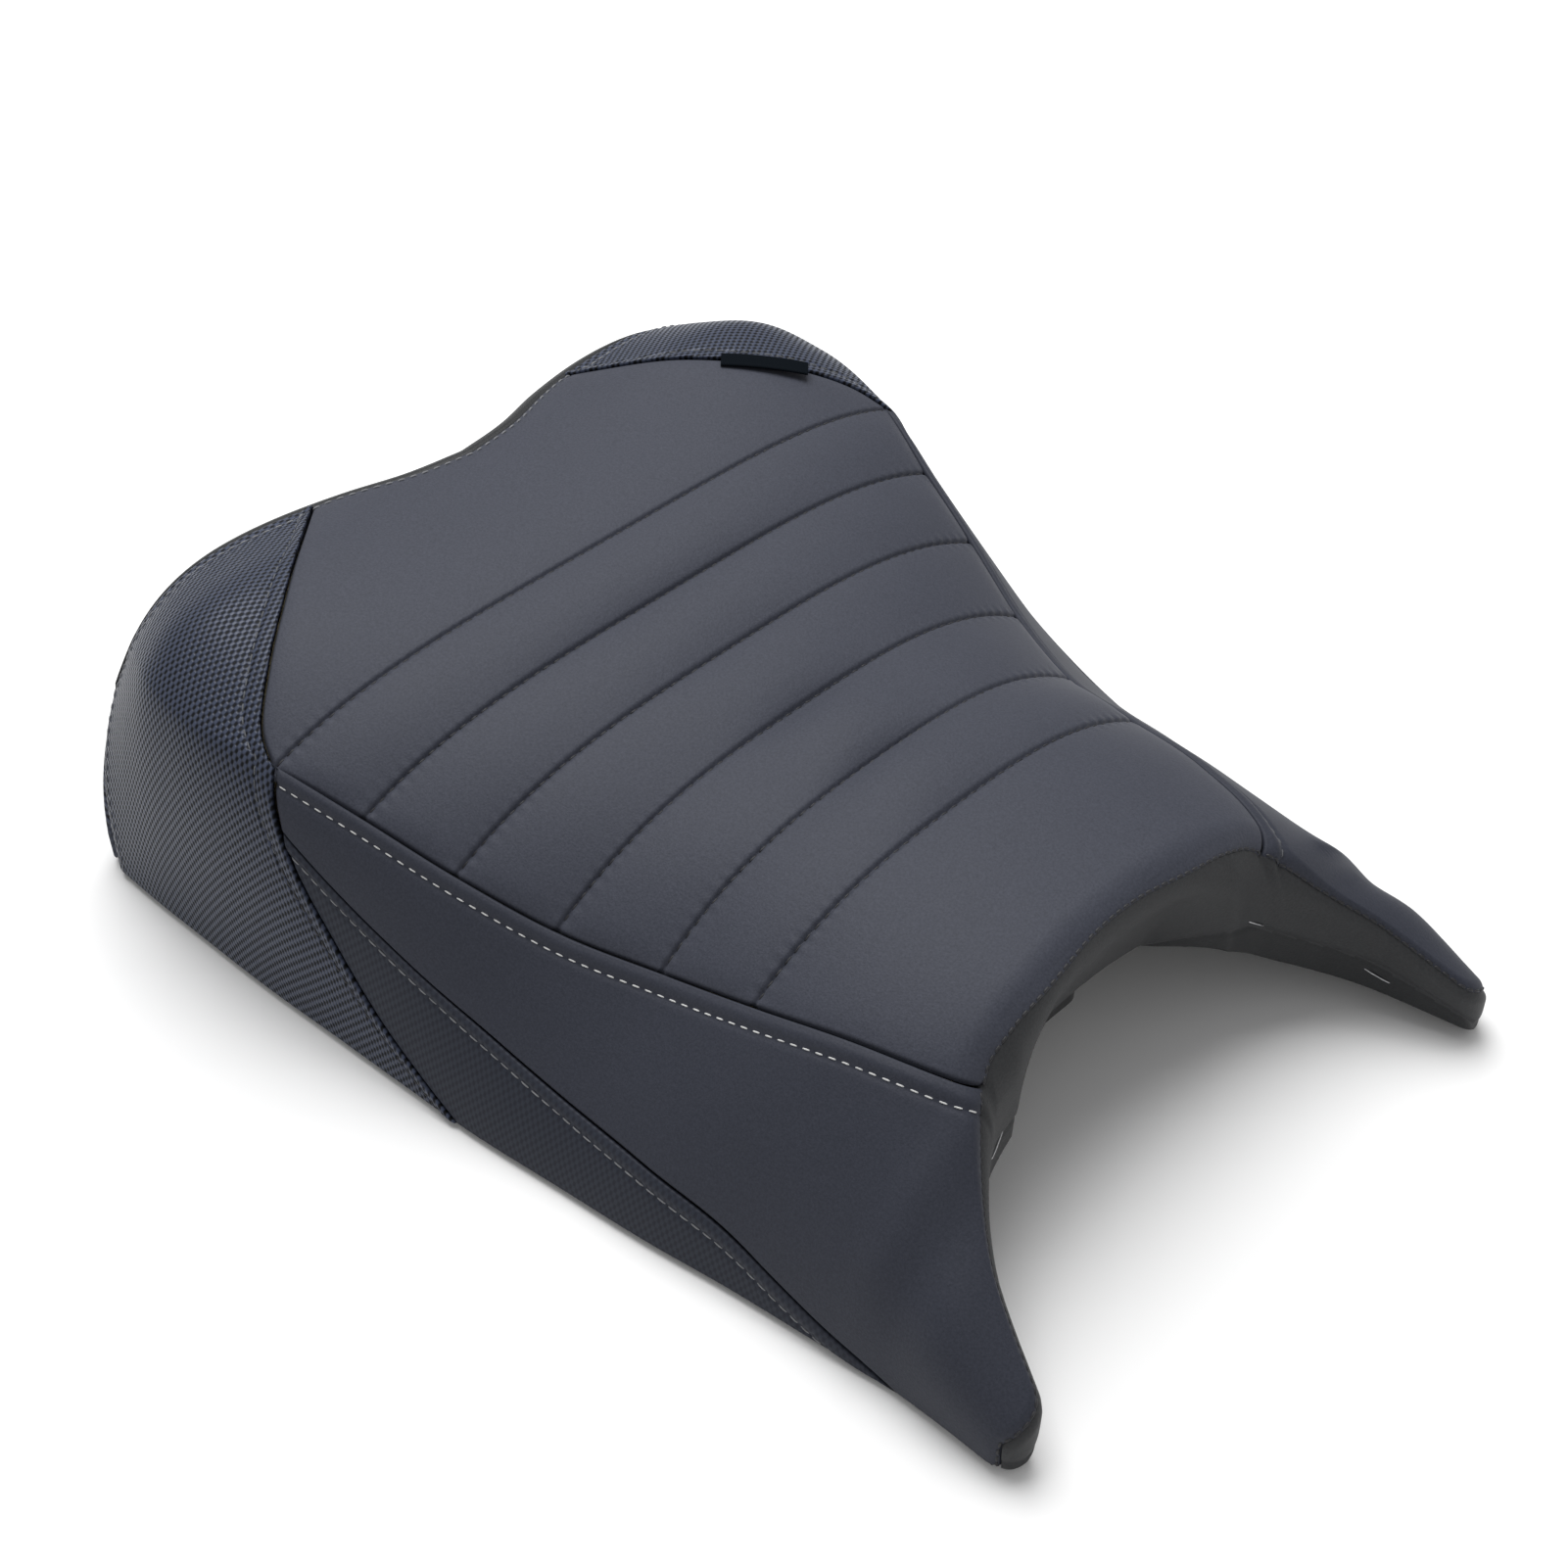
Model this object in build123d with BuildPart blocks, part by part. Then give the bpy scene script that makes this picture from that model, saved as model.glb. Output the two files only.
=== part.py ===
"""Rider's seat for a motorcycle: sewn cover over quilt wadding and foam on a moulded pan.

Frame: origin on the ground under the middle of the seat, +X towards the tank, +Y to the
rider's left, +Z up.  Millimetres.  The seat is symmetric about the plane y = 0.
"""
import os
from math import hypot

from build123d import *

os.makedirs("parts", exist_ok=True)

# ---------------------------------------------------------------- driving dimensions
COVER = 3.0          # sewn cover with its scrim backing
WADDING = 5.0        # quilt wadding under the top panel
GAP = 0.4            # clearance between one soft layer and the next
SEAM_GAP = 0.3       # clearance between neighbouring cover panels
PAN = 3.0            # wall of the moulded pan
HEM_LOW = 1.0        # underside of the hem that is turned under the pan
HEM_HIGH = 2.4       # upper face of that hem
HEM_WIDTH = 14.0     # how far the hem reaches in from the outside
FLANGE_LOW = 2.8     # underside of the pan's flange, resting on the hem
FLANGE_HIGH = 5.8
TALL = 150.0         # height that clears every section, for cutters
WIDE = 200.0         # half-width that clears every section, for cutters

# Cross-sections from tail to tank: station x, half-width and height of the top seam,
# height of the crown, half-width at the hem, squareness of the crown and its dish, and
# fullness of the side below the seam.
STATIONS = [
    (-220, 134, 84, 106, 173.5, 6.5, 2, 0),
    (-190, 149, 98.5, 114, 173.5, 7.5, 8, 0),
    (-170, 157, 103.5, 117.5, 173, 7.5, 12, 0),
    (-150, 159, 103.5, 117.5, 172, 7, 9, 0),
    (-105, 150, 100, 115, 166, 4.3, 0, 0),
    (-72, 139.5, 90, 108.5, 163.5, 3.7, 0, 0),
    (-38, 129, 79.5, 103.5, 162.5, 3.2, 0, 0),
    (-3, 118, 71, 99, 161, 3, 0, 0),
    (33, 106.5, 70.5, 99, 156, 2.9, 0, 0),
    (69, 96.5, 74.5, 100, 149, 2.8, 0, 0),
    (87, 90.8, 76.2, 99.7, 145.4, 2.8, 0, 0),
    (103, 85.6, 77.4, 99.1, 142.4, 2.8, 0, 0),
    (119, 81, 78.1, 98.5, 139.6, 2.8, 0, 0.17),
    (135, 76.4, 78.5, 97.7, 137, 2.8, 0, 0.44),
    (151, 71.5, 78, 95.6, 134.2, 2.8, 0, 0.47),
    (167, 68, 61, 73.7, 132.1, 2.8, 0, 1.09),
    (183, 65.7, 42.6, 52.2, 130.8, 2.8, 0, 1.46),
    (199, 64, 31.3, 38.7, 130, 2.8, 0, 1.49),
    (216, 63, 25, 31, 129.5, 2.8, 0, 1.5),
]
CROWN_STEPS = (0, 0.3, 0.55, 0.75, 0.9, 1)
WALL_STEPS = (0.15, 0.35, 0.6, 0.8, 1)

# Tail: plan curve of the rear wall, round at the corner and scooped in the middle.
TAIL_CURVE = [(-181, 182), (-194, 177), (-205, 170), (-211.5, 160), (-214, 146), (-214, 120),
              (-213, 96), (-209.5, 70), (-203, 46), (-194.5, 24), (-190, 0)]
# Tank notch: plan curve from outside the horn tip, round it and in to the middle,
# at the upper edge, and how far the middle of the wall runs back at ground level.
NOTCH_CURVE = [(190, 140), (204, 133), (211.5, 127), (213, 120.5), (210.5, 115), (203, 111.5), (192, 107),
               (179, 101), (168, 93), (159.5, 84), (153.5, 76), (149, 68), (147, 54), (146, 42),
               (144, 28), (142.5, 14), (142, 0)]
NOTCH_TOP = 97.0
NOTCH_RAKE = 0.36        # mm back per mm down, at the middle
RAKE_START = 30.0        # half-width of the raked middle
RAKE_END = 56.0

# Underside: an arch along the whole seat, flat in the middle.
ARCH = [(0, 1), (18, 1), (34, 0.985), (54, 0.88), (77, 0.54), (90, 0.38), (107, 0.19), (124, 0)]
ARCH_STATIONS = [(-240, 36), (-175, 36), (-110, 37), (-60, 42), (-10, 47), (40, 48), (110, 48), (240, 48)]
RIB_DEPTH = 7.0
RIB_THICK = 2.6
CROSS_RIBS = (-120, -72, 20)
LONG_RIBS = (-34, 34)

# Seams, as plan or side curves of one half.
TOP_SEAM = [(170, 66), (149, 72), (105, 85), (69, 96.5), (33, 106.5), (-3, 118), (-38, 129),
            (-72, 139.5), (-105, 151.5)]
CORNER_SEAM = [(-105, 151.5), (-118, 145.5), (-133, 130), (-151, 110), (-171, 89), (-190, 71),
               (-215, 48)]
CORNER_EDGE = [(-105, 103), (-100, 88), (-90, 70), (-73, 48), (-52, 27), (-28, 11), (-4, -2)]
TRIM_EDGE = [(-96, 81), (-75, 67), (-42, 51), (-7, 38.5), (28, 30), (61, 26.5), (92, 22.5),
             (124, 14), (150, 6.5), (176, -1)]
REAR_BAND_HALF = 150.0

# Hardware
TONGUE_WIDTH = 38.0
TONGUE_THICK = 5.0
TONGUE_LINE = [(30, 44.8), (64, 44.8), (84, 27.5), (114, 27.5)]     # middle line, side view
TONGUE_CORNER = 6.0
TONGUE_RIVETS = (38, 54)
TAB_WIDTH = 50.0
TAB_THICK = 3.0
TAB_TOP = 35.5
TAB_FRONT = -128.0
TAB_END = -213.0
TAB_CORNER = 10.0
TAB_HOLE_X = -199.0
TAB_HOLE_R = 4.25
TAB_RIVETS = (-144, -168)
RIVET_Y = 11.0
RIVET_R = 2.4
HEAD_R = 4.6
HEAD_H = 1.6
# Rubber buffers: x, half-spacing and underside of the pad that each one plugs into.
BUFFERS = {"front": (88, 62, 27), "middle": (-26, 66, 23), "rear": (-150, 60, 21)}
PAD_R = 12.0
PAD_H = 30.0
FIT = 0.1                # radial clearance of stems and rivets
BUFFER_R = 10.0
BUFFER_H = 13.0
STEM_R = 3.5
STEM_H = 5.0
LIP = (-186, 62, 126, 132)           # x from, x to, y from, y to of the pan's resting lips
STAPLE_WIDTH = 10.0
STAPLE_WIRE = 0.9
STAPLE_LEG = 3.4
STAPLE_PITCH = 26.0
STAPLE_ROW = (-182, 100)
STAPLE_INSET = 9.0
STAPLE_CLEAR = 0.12
LABEL = (35.0, 1.4, 8.0)             # blank woven label: length, thickness, width
LABEL_AT = (-143.0, 119.5, 119.8)
LABEL_ALONG = (0.70, 0.69, -0.19)
LABEL_OUT = (0.69, -0.69, 0.2)


# ---------------------------------------------------------------- outline helpers
def shifted(points, distance):
    """Move each point of an outline sideways, to the left of its direction of travel."""
    moved = []
    last = len(points) - 1
    for i, (u, v) in enumerate(points):
        before = points[max(i - 1, 0)]
        after = points[min(i + 1, last)]
        du = after[0] - before[0]
        dv = after[1] - before[1]
        length = hypot(du, dv)
        moved.append((u - dv / length * distance, v + du / length * distance))
    return moved


def both_sides(half):
    """Complete a half outline that ends on the middle line, (u, v) with v the half-width."""
    return half + [(u, -v) for u, v in reversed(half[:-1])]


def half_section(station, inset):
    """Points (y, z) from the crown down to the ground, moved inwards by inset."""
    x, seam_y, seam_z, crown_z, hem_y, square, dish, full = station
    drop = crown_z + dish - seam_z
    points = []
    for r in CROWN_STEPS:
        points.append((seam_y * r, crown_z + dish * r**2 - drop * r**square))
    slope = ((square * drop - 2 * dish) / seam_y + 0.15) * (1 - 0.75 * full)
    run = 0.42 * min(1.6 * (hem_y - seam_y) + 4, 40) * (1 + 0.6 * full) / hypot(1, slope)
    knee = (seam_y + run, seam_z - run * slope)
    shin_y = hem_y - 0.12 * (hem_y - seam_y) * (1 - full) + 1 + 1.5 * full
    shin = (shin_y, (0.45 + 0.5 * full) * seam_z)
    for t in WALL_STEPS:
        weights = ((1 - t) ** 3, 3 * t * (1 - t) ** 2, 3 * t * t * (1 - t), t**3)
        corners = ((seam_y, seam_z), knee, shin, (hem_y, 0))
        points.append(tuple(sum(w * c[k] for w, c in zip(weights, corners)) for k in (0, 1)))
    points = shifted(points, -inset)
    points[0] = (0, points[0][1])
    points[-1] = (points[-1][0], 0)
    return points


# ---------------------------------------------------------------- working volumes
def envelope(inset):
    """Whole seat shape, moved inwards by inset, before the tail and the notch are cut."""
    with BuildPart() as shape:
        for station in STATIONS:
            half = half_section(station, inset)
            with BuildSketch(Plane.YZ.offset(station[0])):
                with BuildLine():
                    Spline([(-y, z) for y, z in reversed(half[1:])] + half)
                    Line(half[-1], (-half[-1][0], 0))
                make_face()
        loft()
    return shape.part


def tank_space(grow):
    """Space taken by the tank, widened by grow."""
    with BuildPart() as space:
        for height in (TALL, -10):
            half = []
            for x, y in shifted(NOTCH_CURVE, -grow):
                share = min(max((RAKE_END - y) / (RAKE_END - RAKE_START), 0), 1)
                half.append((x - share * NOTCH_RAKE * (NOTCH_TOP - height), y))
            half[-1] = (half[-1][0], 0)
            curve = both_sides(half)
            with BuildSketch(Plane.XY.offset(height)):
                with BuildLine():
                    Spline(curve)
                    Polyline(curve[-1], (curve[-1][0], -WIDE), (2 * WIDE, -WIDE), (2 * WIDE, WIDE),
                             (curve[0][0], WIDE), curve[0])
                make_face()
        loft(ruled=True)
    return space.part


def tail_space(grow):
    """Space behind the rear wall, widened by grow."""
    half = shifted(TAIL_CURVE, grow)
    half[-1] = (half[-1][0], 0)
    curve = both_sides(half)
    with BuildPart() as space:
        with BuildSketch(Plane.XY.offset(-10)):
            with BuildLine():
                Spline(curve)
                Polyline(curve[-1], (curve[-1][0], -WIDE), (-2 * WIDE, -WIDE), (-2 * WIDE, WIDE),
                         (curve[0][0], WIDE), curve[0])
            make_face()
        extrude(amount=TALL + 10)
    return space.part


def arch(lift):
    """Hollow under the pan, raised by lift."""
    with BuildPart() as space:
        for x, height in ARCH_STATIONS:
            half = shifted([(y, z * height) for y, z in ARCH], lift)
            half[0] = (0, half[0][1])
            foot = half[-1][0]
            with BuildSketch(Plane.YZ.offset(x)):
                with BuildLine():
                    Spline([(-y, z) for y, z in reversed(half[1:])] + half)
                    Polyline(half[-1], (foot, -20), (-foot, -20), (-foot, half[-1][1]))
                make_face()
        loft()
    return space.part


def seat_shape(skin, ends):
    """Seat shape with its skin moved inwards by skin, and its tail and notch walls by ends."""
    with BuildPart() as shape:
        add(envelope(skin))
        add(tail_space(ends), mode=Mode.SUBTRACT)
        add(tank_space(ends), mode=Mode.SUBTRACT)
    return shape.part


def block(x_range, y_range, z_range):
    """Plain box between two corners, for cutting."""
    size = [high - low for low, high in (x_range, y_range, z_range)]
    middle = [(low + high) / 2 for low, high in (x_range, y_range, z_range)]
    return Pos(*middle) * Box(*size, mode=Mode.PRIVATE)


def seam_prism(grow):
    """Everything above and below the top panel, widened by grow."""
    side = shifted(TOP_SEAM, -grow)
    corner = shifted(CORNER_SEAM, -grow)
    side[-1] = corner[0] = (TOP_SEAM[-1][0], TOP_SEAM[-1][1] + grow)
    with BuildPart() as prism:
        with BuildSketch():
            for flip in (1, -1):
                with BuildLine():
                    Spline([(x, flip * y) for x, y in side])
                    Spline([(x, flip * y) for x, y in corner])
                    Polyline((corner[-1][0], flip * corner[-1][1]), (corner[-1][0], 0),
                             (side[0][0], 0), (side[0][0], flip * side[0][1]))
                make_face()
        extrude(amount=TALL)
    return prism.part


def side_prism(edge, far, grow):
    """Right half of the space behind or below a seam drawn in side view, widened by grow."""
    line = shifted(edge, grow)
    with BuildPart() as prism:
        with BuildSketch(Plane.XZ):
            with BuildLine():
                Spline(line)
                Polyline(line[-1], *far, line[0])
            make_face()
        extrude(amount=WIDE)
    return prism.part


def named(part, name, colour):
    """Label a finished piece, colour it and write its file."""
    part.label = name
    part.color = Color(*colour)
    export_step(part, f"parts/{name}.step")


VINYL = (0.10, 0.11, 0.13)
WEAVE = (0.06, 0.06, 0.07)
FOAM = (0.78, 0.72, 0.52)
FLEECE = (0.75, 0.75, 0.72)
PLASTIC = (0.05, 0.05, 0.055)
RUBBER = (0.03, 0.03, 0.03)
STEEL = (0.62, 0.63, 0.65)

# ---------------------------------------------------------------- shared volumes
arch_face = arch(0)
outer_shape = seat_shape(0, 0)
lined_shape = seat_shape(COVER, COVER)
clear_shape = seat_shape(COVER + GAP, COVER + GAP)

# ---------------------------------------------------------------- staples
staple_spots = []
staple_count = int((STAPLE_ROW[1] - STAPLE_ROW[0]) / STAPLE_PITCH) + 1
hems = [(station[0], station[4]) for station in STATIONS]
for i in range(staple_count):
    x = STAPLE_ROW[0] + i * STAPLE_PITCH
    below, above = [pair for pair in zip(hems, hems[1:]) if pair[0][0] <= x <= pair[1][0]][0]
    share = (x - below[0]) / (above[0] - below[0])
    staple_spots.append((x, below[1] + share * (above[1] - below[1]) - STAPLE_INSET))


def staples(extra):
    """Both rows of staples, thickened by extra for their slots in the pan and the hem."""
    wire = STAPLE_WIRE + 2 * extra
    top = HEM_LOW - 0.02
    with BuildPart() as rows:
        for flip in (1, -1):
            with Locations([(x, flip * y, top - STAPLE_WIRE / 2) for x, y in staple_spots]):
                Box(STAPLE_WIDTH + 2 * extra, wire, STAPLE_WIRE + 2 * extra)
            legs = []
            for x, y in staple_spots:
                for end in (-1, 1):
                    reach = end * (STAPLE_WIDTH - STAPLE_WIRE) / 2
                    legs.append((x + reach, flip * y, top + STAPLE_LEG / 2 - 0.2))
            with Locations(legs):
                Box(wire, wire, STAPLE_LEG + 0.4 + 2 * extra)
    return rows.part


with BuildPart() as cover_staples:
    add(staples(0))
staple_slots = staples(STAPLE_CLEAR)
named(cover_staples.part, "cover_staples", STEEL)

# ---------------------------------------------------------------- sewn cover
hem_core = [(station[0], station[4] - HEM_WIDTH) for station in STATIONS]
hem_core[0] = (TAIL_CURVE[4][0] + HEM_WIDTH, hem_core[0][1])
with BuildPart() as inside_hem:
    with BuildSketch(Plane.XY.offset(-1)):
        with BuildLine():
            Polyline([(x, y) for x, y in hem_core] + [(x, -y) for x, y in reversed(hem_core)],
                     close=True)
        make_face()
    extrude(amount=HEM_HIGH + 1)

with BuildPart() as filling:
    add(lined_shape)
    add(block((-240, 240), (-WIDE, WIDE), (-10, HEM_HIGH)), mode=Mode.SUBTRACT)

with BuildPart() as cover_half:
    add(outer_shape)
    add(block((-240, 240), (0, WIDE), (-10, TALL)), mode=Mode.SUBTRACT)
    add(block((-240, 240), (-WIDE, WIDE), (-10, HEM_LOW)), mode=Mode.SUBTRACT)
    add(filling.part, mode=Mode.SUBTRACT)
    add(inside_hem.part, mode=Mode.SUBTRACT)
    add(arch_face, mode=Mode.SUBTRACT)
    add(staple_slots, mode=Mode.SUBTRACT)

rear_space = tail_space(COVER)
front_space = tank_space(COVER)
rear_limits = block((-240, 240), (-REAR_BAND_HALF, 0), (-10, TALL))
behind = [(-20, -40), (-260, -40), (-260, TALL), (CORNER_EDGE[0][0], TALL)]
below = [(200, -40), (-130, -40), (-130, TRIM_EDGE[0][1])]


def cover_piece(keep, remove):
    """Part of the right half of the cover inside keep and outside each of remove."""
    with BuildPart() as piece:
        add(cover_half.part)
        for volume in keep:
            add(volume, mode=Mode.INTERSECT)
        for volume in remove:
            add(volume, mode=Mode.SUBTRACT)
    return piece.part


def full_width(half):
    """Join a right half to its mirror image."""
    with BuildPart() as piece:
        add(half)
        mirror(about=Plane.XZ)
    return piece.part


top_prism = seam_prism(0)
top_grown = seam_prism(SEAM_GAP)
corner_prism = side_prism(CORNER_EDGE, behind, 0)
corner_grown = side_prism(CORNER_EDGE, behind, SEAM_GAP)
trim_prism = side_prism(TRIM_EDGE, below, 0)
trim_grown = side_prism(TRIM_EDGE, below, SEAM_GAP)
with BuildPart() as rear_grown_space:
    add(tail_space(COVER + SEAM_GAP))
    add(block((-240, 240), (-REAR_BAND_HALF - SEAM_GAP, 1), (-10, TALL)), mode=Mode.INTERSECT)
rear_grown = rear_grown_space.part
front_grown = tank_space(COVER + SEAM_GAP)
walls = [rear_grown, front_grown]

named(full_width(cover_piece([rear_space, rear_limits], [])), "rear_band", VINYL)
named(full_width(cover_piece([front_space], [])), "front_band", VINYL)
named(full_width(cover_piece([top_prism], walls)), "top_panel", VINYL)
halves = {
    "corner_panel": (cover_piece([corner_prism], [top_grown, rear_grown]), WEAVE),
    "lower_trim": (cover_piece([trim_prism], [corner_grown, front_grown]), WEAVE),
    "side_panel": (cover_piece([], [top_grown, corner_grown, trim_grown, front_grown]), VINYL),
}
for name, (half, colour) in halves.items():
    named(half, f"{name}_right", colour)
    named(mirror(half, about=Plane.XZ), f"{name}_left", colour)

# ---------------------------------------------------------------- padding
with BuildPart() as quilt_wadding:
    add(clear_shape)
    add(top_prism, mode=Mode.INTERSECT)
    add(envelope(COVER + GAP + WADDING), mode=Mode.SUBTRACT)
named(quilt_wadding.part, "quilt_wadding", FLEECE)

with BuildPart() as wadding_room:
    add(clear_shape)
    add(seam_prism(GAP), mode=Mode.INTERSECT)
    add(envelope(COVER + GAP + WADDING + GAP), mode=Mode.SUBTRACT)

with BuildPart() as foam_cushion:
    add(clear_shape)
    add(wadding_room.part, mode=Mode.SUBTRACT)
    add(block((-240, 240), (-WIDE, WIDE), (-10, FLANGE_HIGH + GAP)), mode=Mode.SUBTRACT)
    add(arch(PAN + GAP), mode=Mode.SUBTRACT)
named(foam_cushion.part, "foam_cushion", FOAM)

# ---------------------------------------------------------------- moulded pan
pan_top = arch(PAN)
with BuildPart() as rib_grid:
    for x in CROSS_RIBS:
        add(block((x - RIB_THICK / 2, x + RIB_THICK / 2), (-96, 96), (0, TALL)))
    for y in LONG_RIBS:
        add(block((CROSS_RIBS[0], CROSS_RIBS[-1]), (y - RIB_THICK / 2, y + RIB_THICK / 2), (0, TALL)))
    add(pan_top, mode=Mode.INTERSECT)
    add(arch(-RIB_DEPTH), mode=Mode.SUBTRACT)

buffer_spots = [(x, flip * y, low) for x, y, low in BUFFERS.values() for flip in (1, -1)]
with BuildPart() as buffer_pads:
    for x, y, low in buffer_spots:
        with BuildSketch(Plane.XY.offset(low)):
            with Locations((x, y)):
                Circle(PAD_R)
        extrude(amount=PAD_H)
    add(pan_top, mode=Mode.INTERSECT)

with BuildPart() as flange:
    add(clear_shape)
    add(block((-240, 240), (-WIDE, WIDE), (FLANGE_LOW, FLANGE_HIGH)), mode=Mode.INTERSECT)

with BuildPart() as seat_pan:
    add(clear_shape)
    add(pan_top, mode=Mode.INTERSECT)
    add(flange.part)
    add(arch_face, mode=Mode.SUBTRACT)
    add(block((-240, 240), (-WIDE, WIDE), (-10, FLANGE_LOW)), mode=Mode.SUBTRACT)
    for flip in (1, -1):
        lips = sorted((flip * LIP[2], flip * LIP[3]))
        add(block(LIP[:2], lips, (0, FLANGE_LOW + 1)))
    add(rib_grid.part)
    add(buffer_pads.part)
    with Locations(buffer_spots):
        Cylinder(STEM_R + FIT, 2 * (STEM_H + FIT), mode=Mode.SUBTRACT)
    with Locations([(x, y, TAB_TOP) for x in TONGUE_RIVETS + TAB_RIVETS for y in (-RIVET_Y, RIVET_Y)]):
        Cylinder(RIVET_R + FIT, 40, mode=Mode.SUBTRACT)
    add(staple_slots, mode=Mode.SUBTRACT)
named(seat_pan.part, "seat_pan", PLASTIC)

# ---------------------------------------------------------------- fixings under the pan
with BuildPart() as front_tongue:
    with BuildSketch(Plane.XZ):
        with BuildLine():
            Polyline(shifted(TONGUE_LINE, TONGUE_THICK / 2)
                     + shifted(TONGUE_LINE, -TONGUE_THICK / 2)[::-1], close=True)
        make_face()
    extrude(amount=TONGUE_WIDTH / 2, both=True)
    fillet(front_tongue.edges().filter_by(Axis.Z), TONGUE_CORNER)
    with Locations([(x, y, TONGUE_LINE[0][1]) for x in TONGUE_RIVETS for y in (-RIVET_Y, RIVET_Y)]):
        Cylinder(RIVET_R + FIT, 2 * TONGUE_THICK, mode=Mode.SUBTRACT)
named(front_tongue.part, "front_tongue", STEEL)

with BuildPart() as rear_tab:
    with BuildSketch(Plane.XY.offset(TAB_TOP - TAB_THICK)):
        with Locations(((TAB_FRONT + TAB_END) / 2, 0)):
            RectangleRounded(TAB_FRONT - TAB_END, TAB_WIDTH, TAB_CORNER)
        with Locations((TAB_HOLE_X, 0)):
            Circle(TAB_HOLE_R, mode=Mode.SUBTRACT)
        with Locations([(x, y) for x in TAB_RIVETS for y in (-RIVET_Y, RIVET_Y)]):
            Circle(RIVET_R + FIT, mode=Mode.SUBTRACT)
    extrude(amount=TAB_THICK)
named(rear_tab.part, "rear_tab", STEEL)


def rivets(spots, plate_low, pan_high):
    """Rivets with their heads under a plate and their shanks flush with the pan's top."""
    with BuildPart() as group:
        with Locations([(x, y, plate_low - HEAD_H) for x, y in spots]):
            Cylinder(HEAD_R, HEAD_H, align=(Align.CENTER, Align.CENTER, Align.MIN))
        fillet(group.edges().group_by(Axis.Z)[0], HEAD_H * 0.6)
        with Locations([(x, y, plate_low) for x, y in spots]):
            Cylinder(RIVET_R, pan_high - plate_low, align=(Align.CENTER, Align.CENTER, Align.MIN))
    return group.part


tongue_spots = [(x, y) for x in TONGUE_RIVETS for y in (-RIVET_Y, RIVET_Y)]
tab_spots = [(x, y) for x in TAB_RIVETS for y in (-RIVET_Y, RIVET_Y)]
tongue_low = TONGUE_LINE[0][1] - TONGUE_THICK / 2
named(rivets(tongue_spots, tongue_low, ARCH_STATIONS[5][1] + PAN - 0.6), "tongue_rivets", STEEL)
named(rivets(tab_spots, TAB_TOP - TAB_THICK, ARCH_STATIONS[1][1] + PAN - 0.6), "tab_rivets", STEEL)

for place, (x, y, low) in BUFFERS.items():
    for hand, flip in (("left", 1), ("right", -1)):
        with BuildPart() as buffer:
            with BuildSketch(Plane.XZ.offset(-flip * y)):
                with BuildLine():
                    Polyline((x, low - BUFFER_H), (x + BUFFER_R - 2, low - BUFFER_H),
                             (x + BUFFER_R - 1, low - BUFFER_H + 2), (x + BUFFER_R, low),
                             (x + STEM_R, low), (x + STEM_R, low + STEM_H - 1),
                             (x + STEM_R - 1, low + STEM_H), (x, low + STEM_H), close=True)
                make_face()
            revolve(axis=Axis((x, flip * y, 0), (0, 0, 1)))
        named(buffer.part, f"buffer_{place}_{hand}", RUBBER)

# ---------------------------------------------------------------- blank woven label
label_plane = Plane(origin=LABEL_AT, x_dir=LABEL_ALONG, z_dir=LABEL_OUT)
with BuildPart() as side_label:
    with BuildSketch(label_plane):
        RectangleRounded(LABEL[0], LABEL[1], LABEL[1] * 0.49)
    extrude(amount=LABEL[2])
named(side_label.part, "side_label", VINYL)
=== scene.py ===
"""Rider's motorcycle seat: sewn cover, stitching, foam and a moulded pan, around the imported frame."""

import bmesh
import bpy
import numpy as np
from mathutils import Matrix, Vector


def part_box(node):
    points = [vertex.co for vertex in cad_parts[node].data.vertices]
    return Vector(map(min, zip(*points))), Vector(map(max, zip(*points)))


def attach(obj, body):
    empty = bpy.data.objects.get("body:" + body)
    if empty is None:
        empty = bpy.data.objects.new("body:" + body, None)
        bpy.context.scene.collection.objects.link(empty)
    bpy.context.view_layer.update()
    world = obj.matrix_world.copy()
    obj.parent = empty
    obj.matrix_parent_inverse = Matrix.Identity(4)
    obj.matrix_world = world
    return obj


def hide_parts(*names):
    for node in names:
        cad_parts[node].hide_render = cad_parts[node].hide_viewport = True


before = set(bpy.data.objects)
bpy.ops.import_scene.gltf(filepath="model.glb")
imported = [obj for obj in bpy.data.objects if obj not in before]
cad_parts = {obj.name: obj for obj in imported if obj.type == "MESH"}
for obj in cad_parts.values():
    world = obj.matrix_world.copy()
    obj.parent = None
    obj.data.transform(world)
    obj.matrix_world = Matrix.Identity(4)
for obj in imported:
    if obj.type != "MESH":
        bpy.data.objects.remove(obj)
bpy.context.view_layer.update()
MM = 0.001

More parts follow.
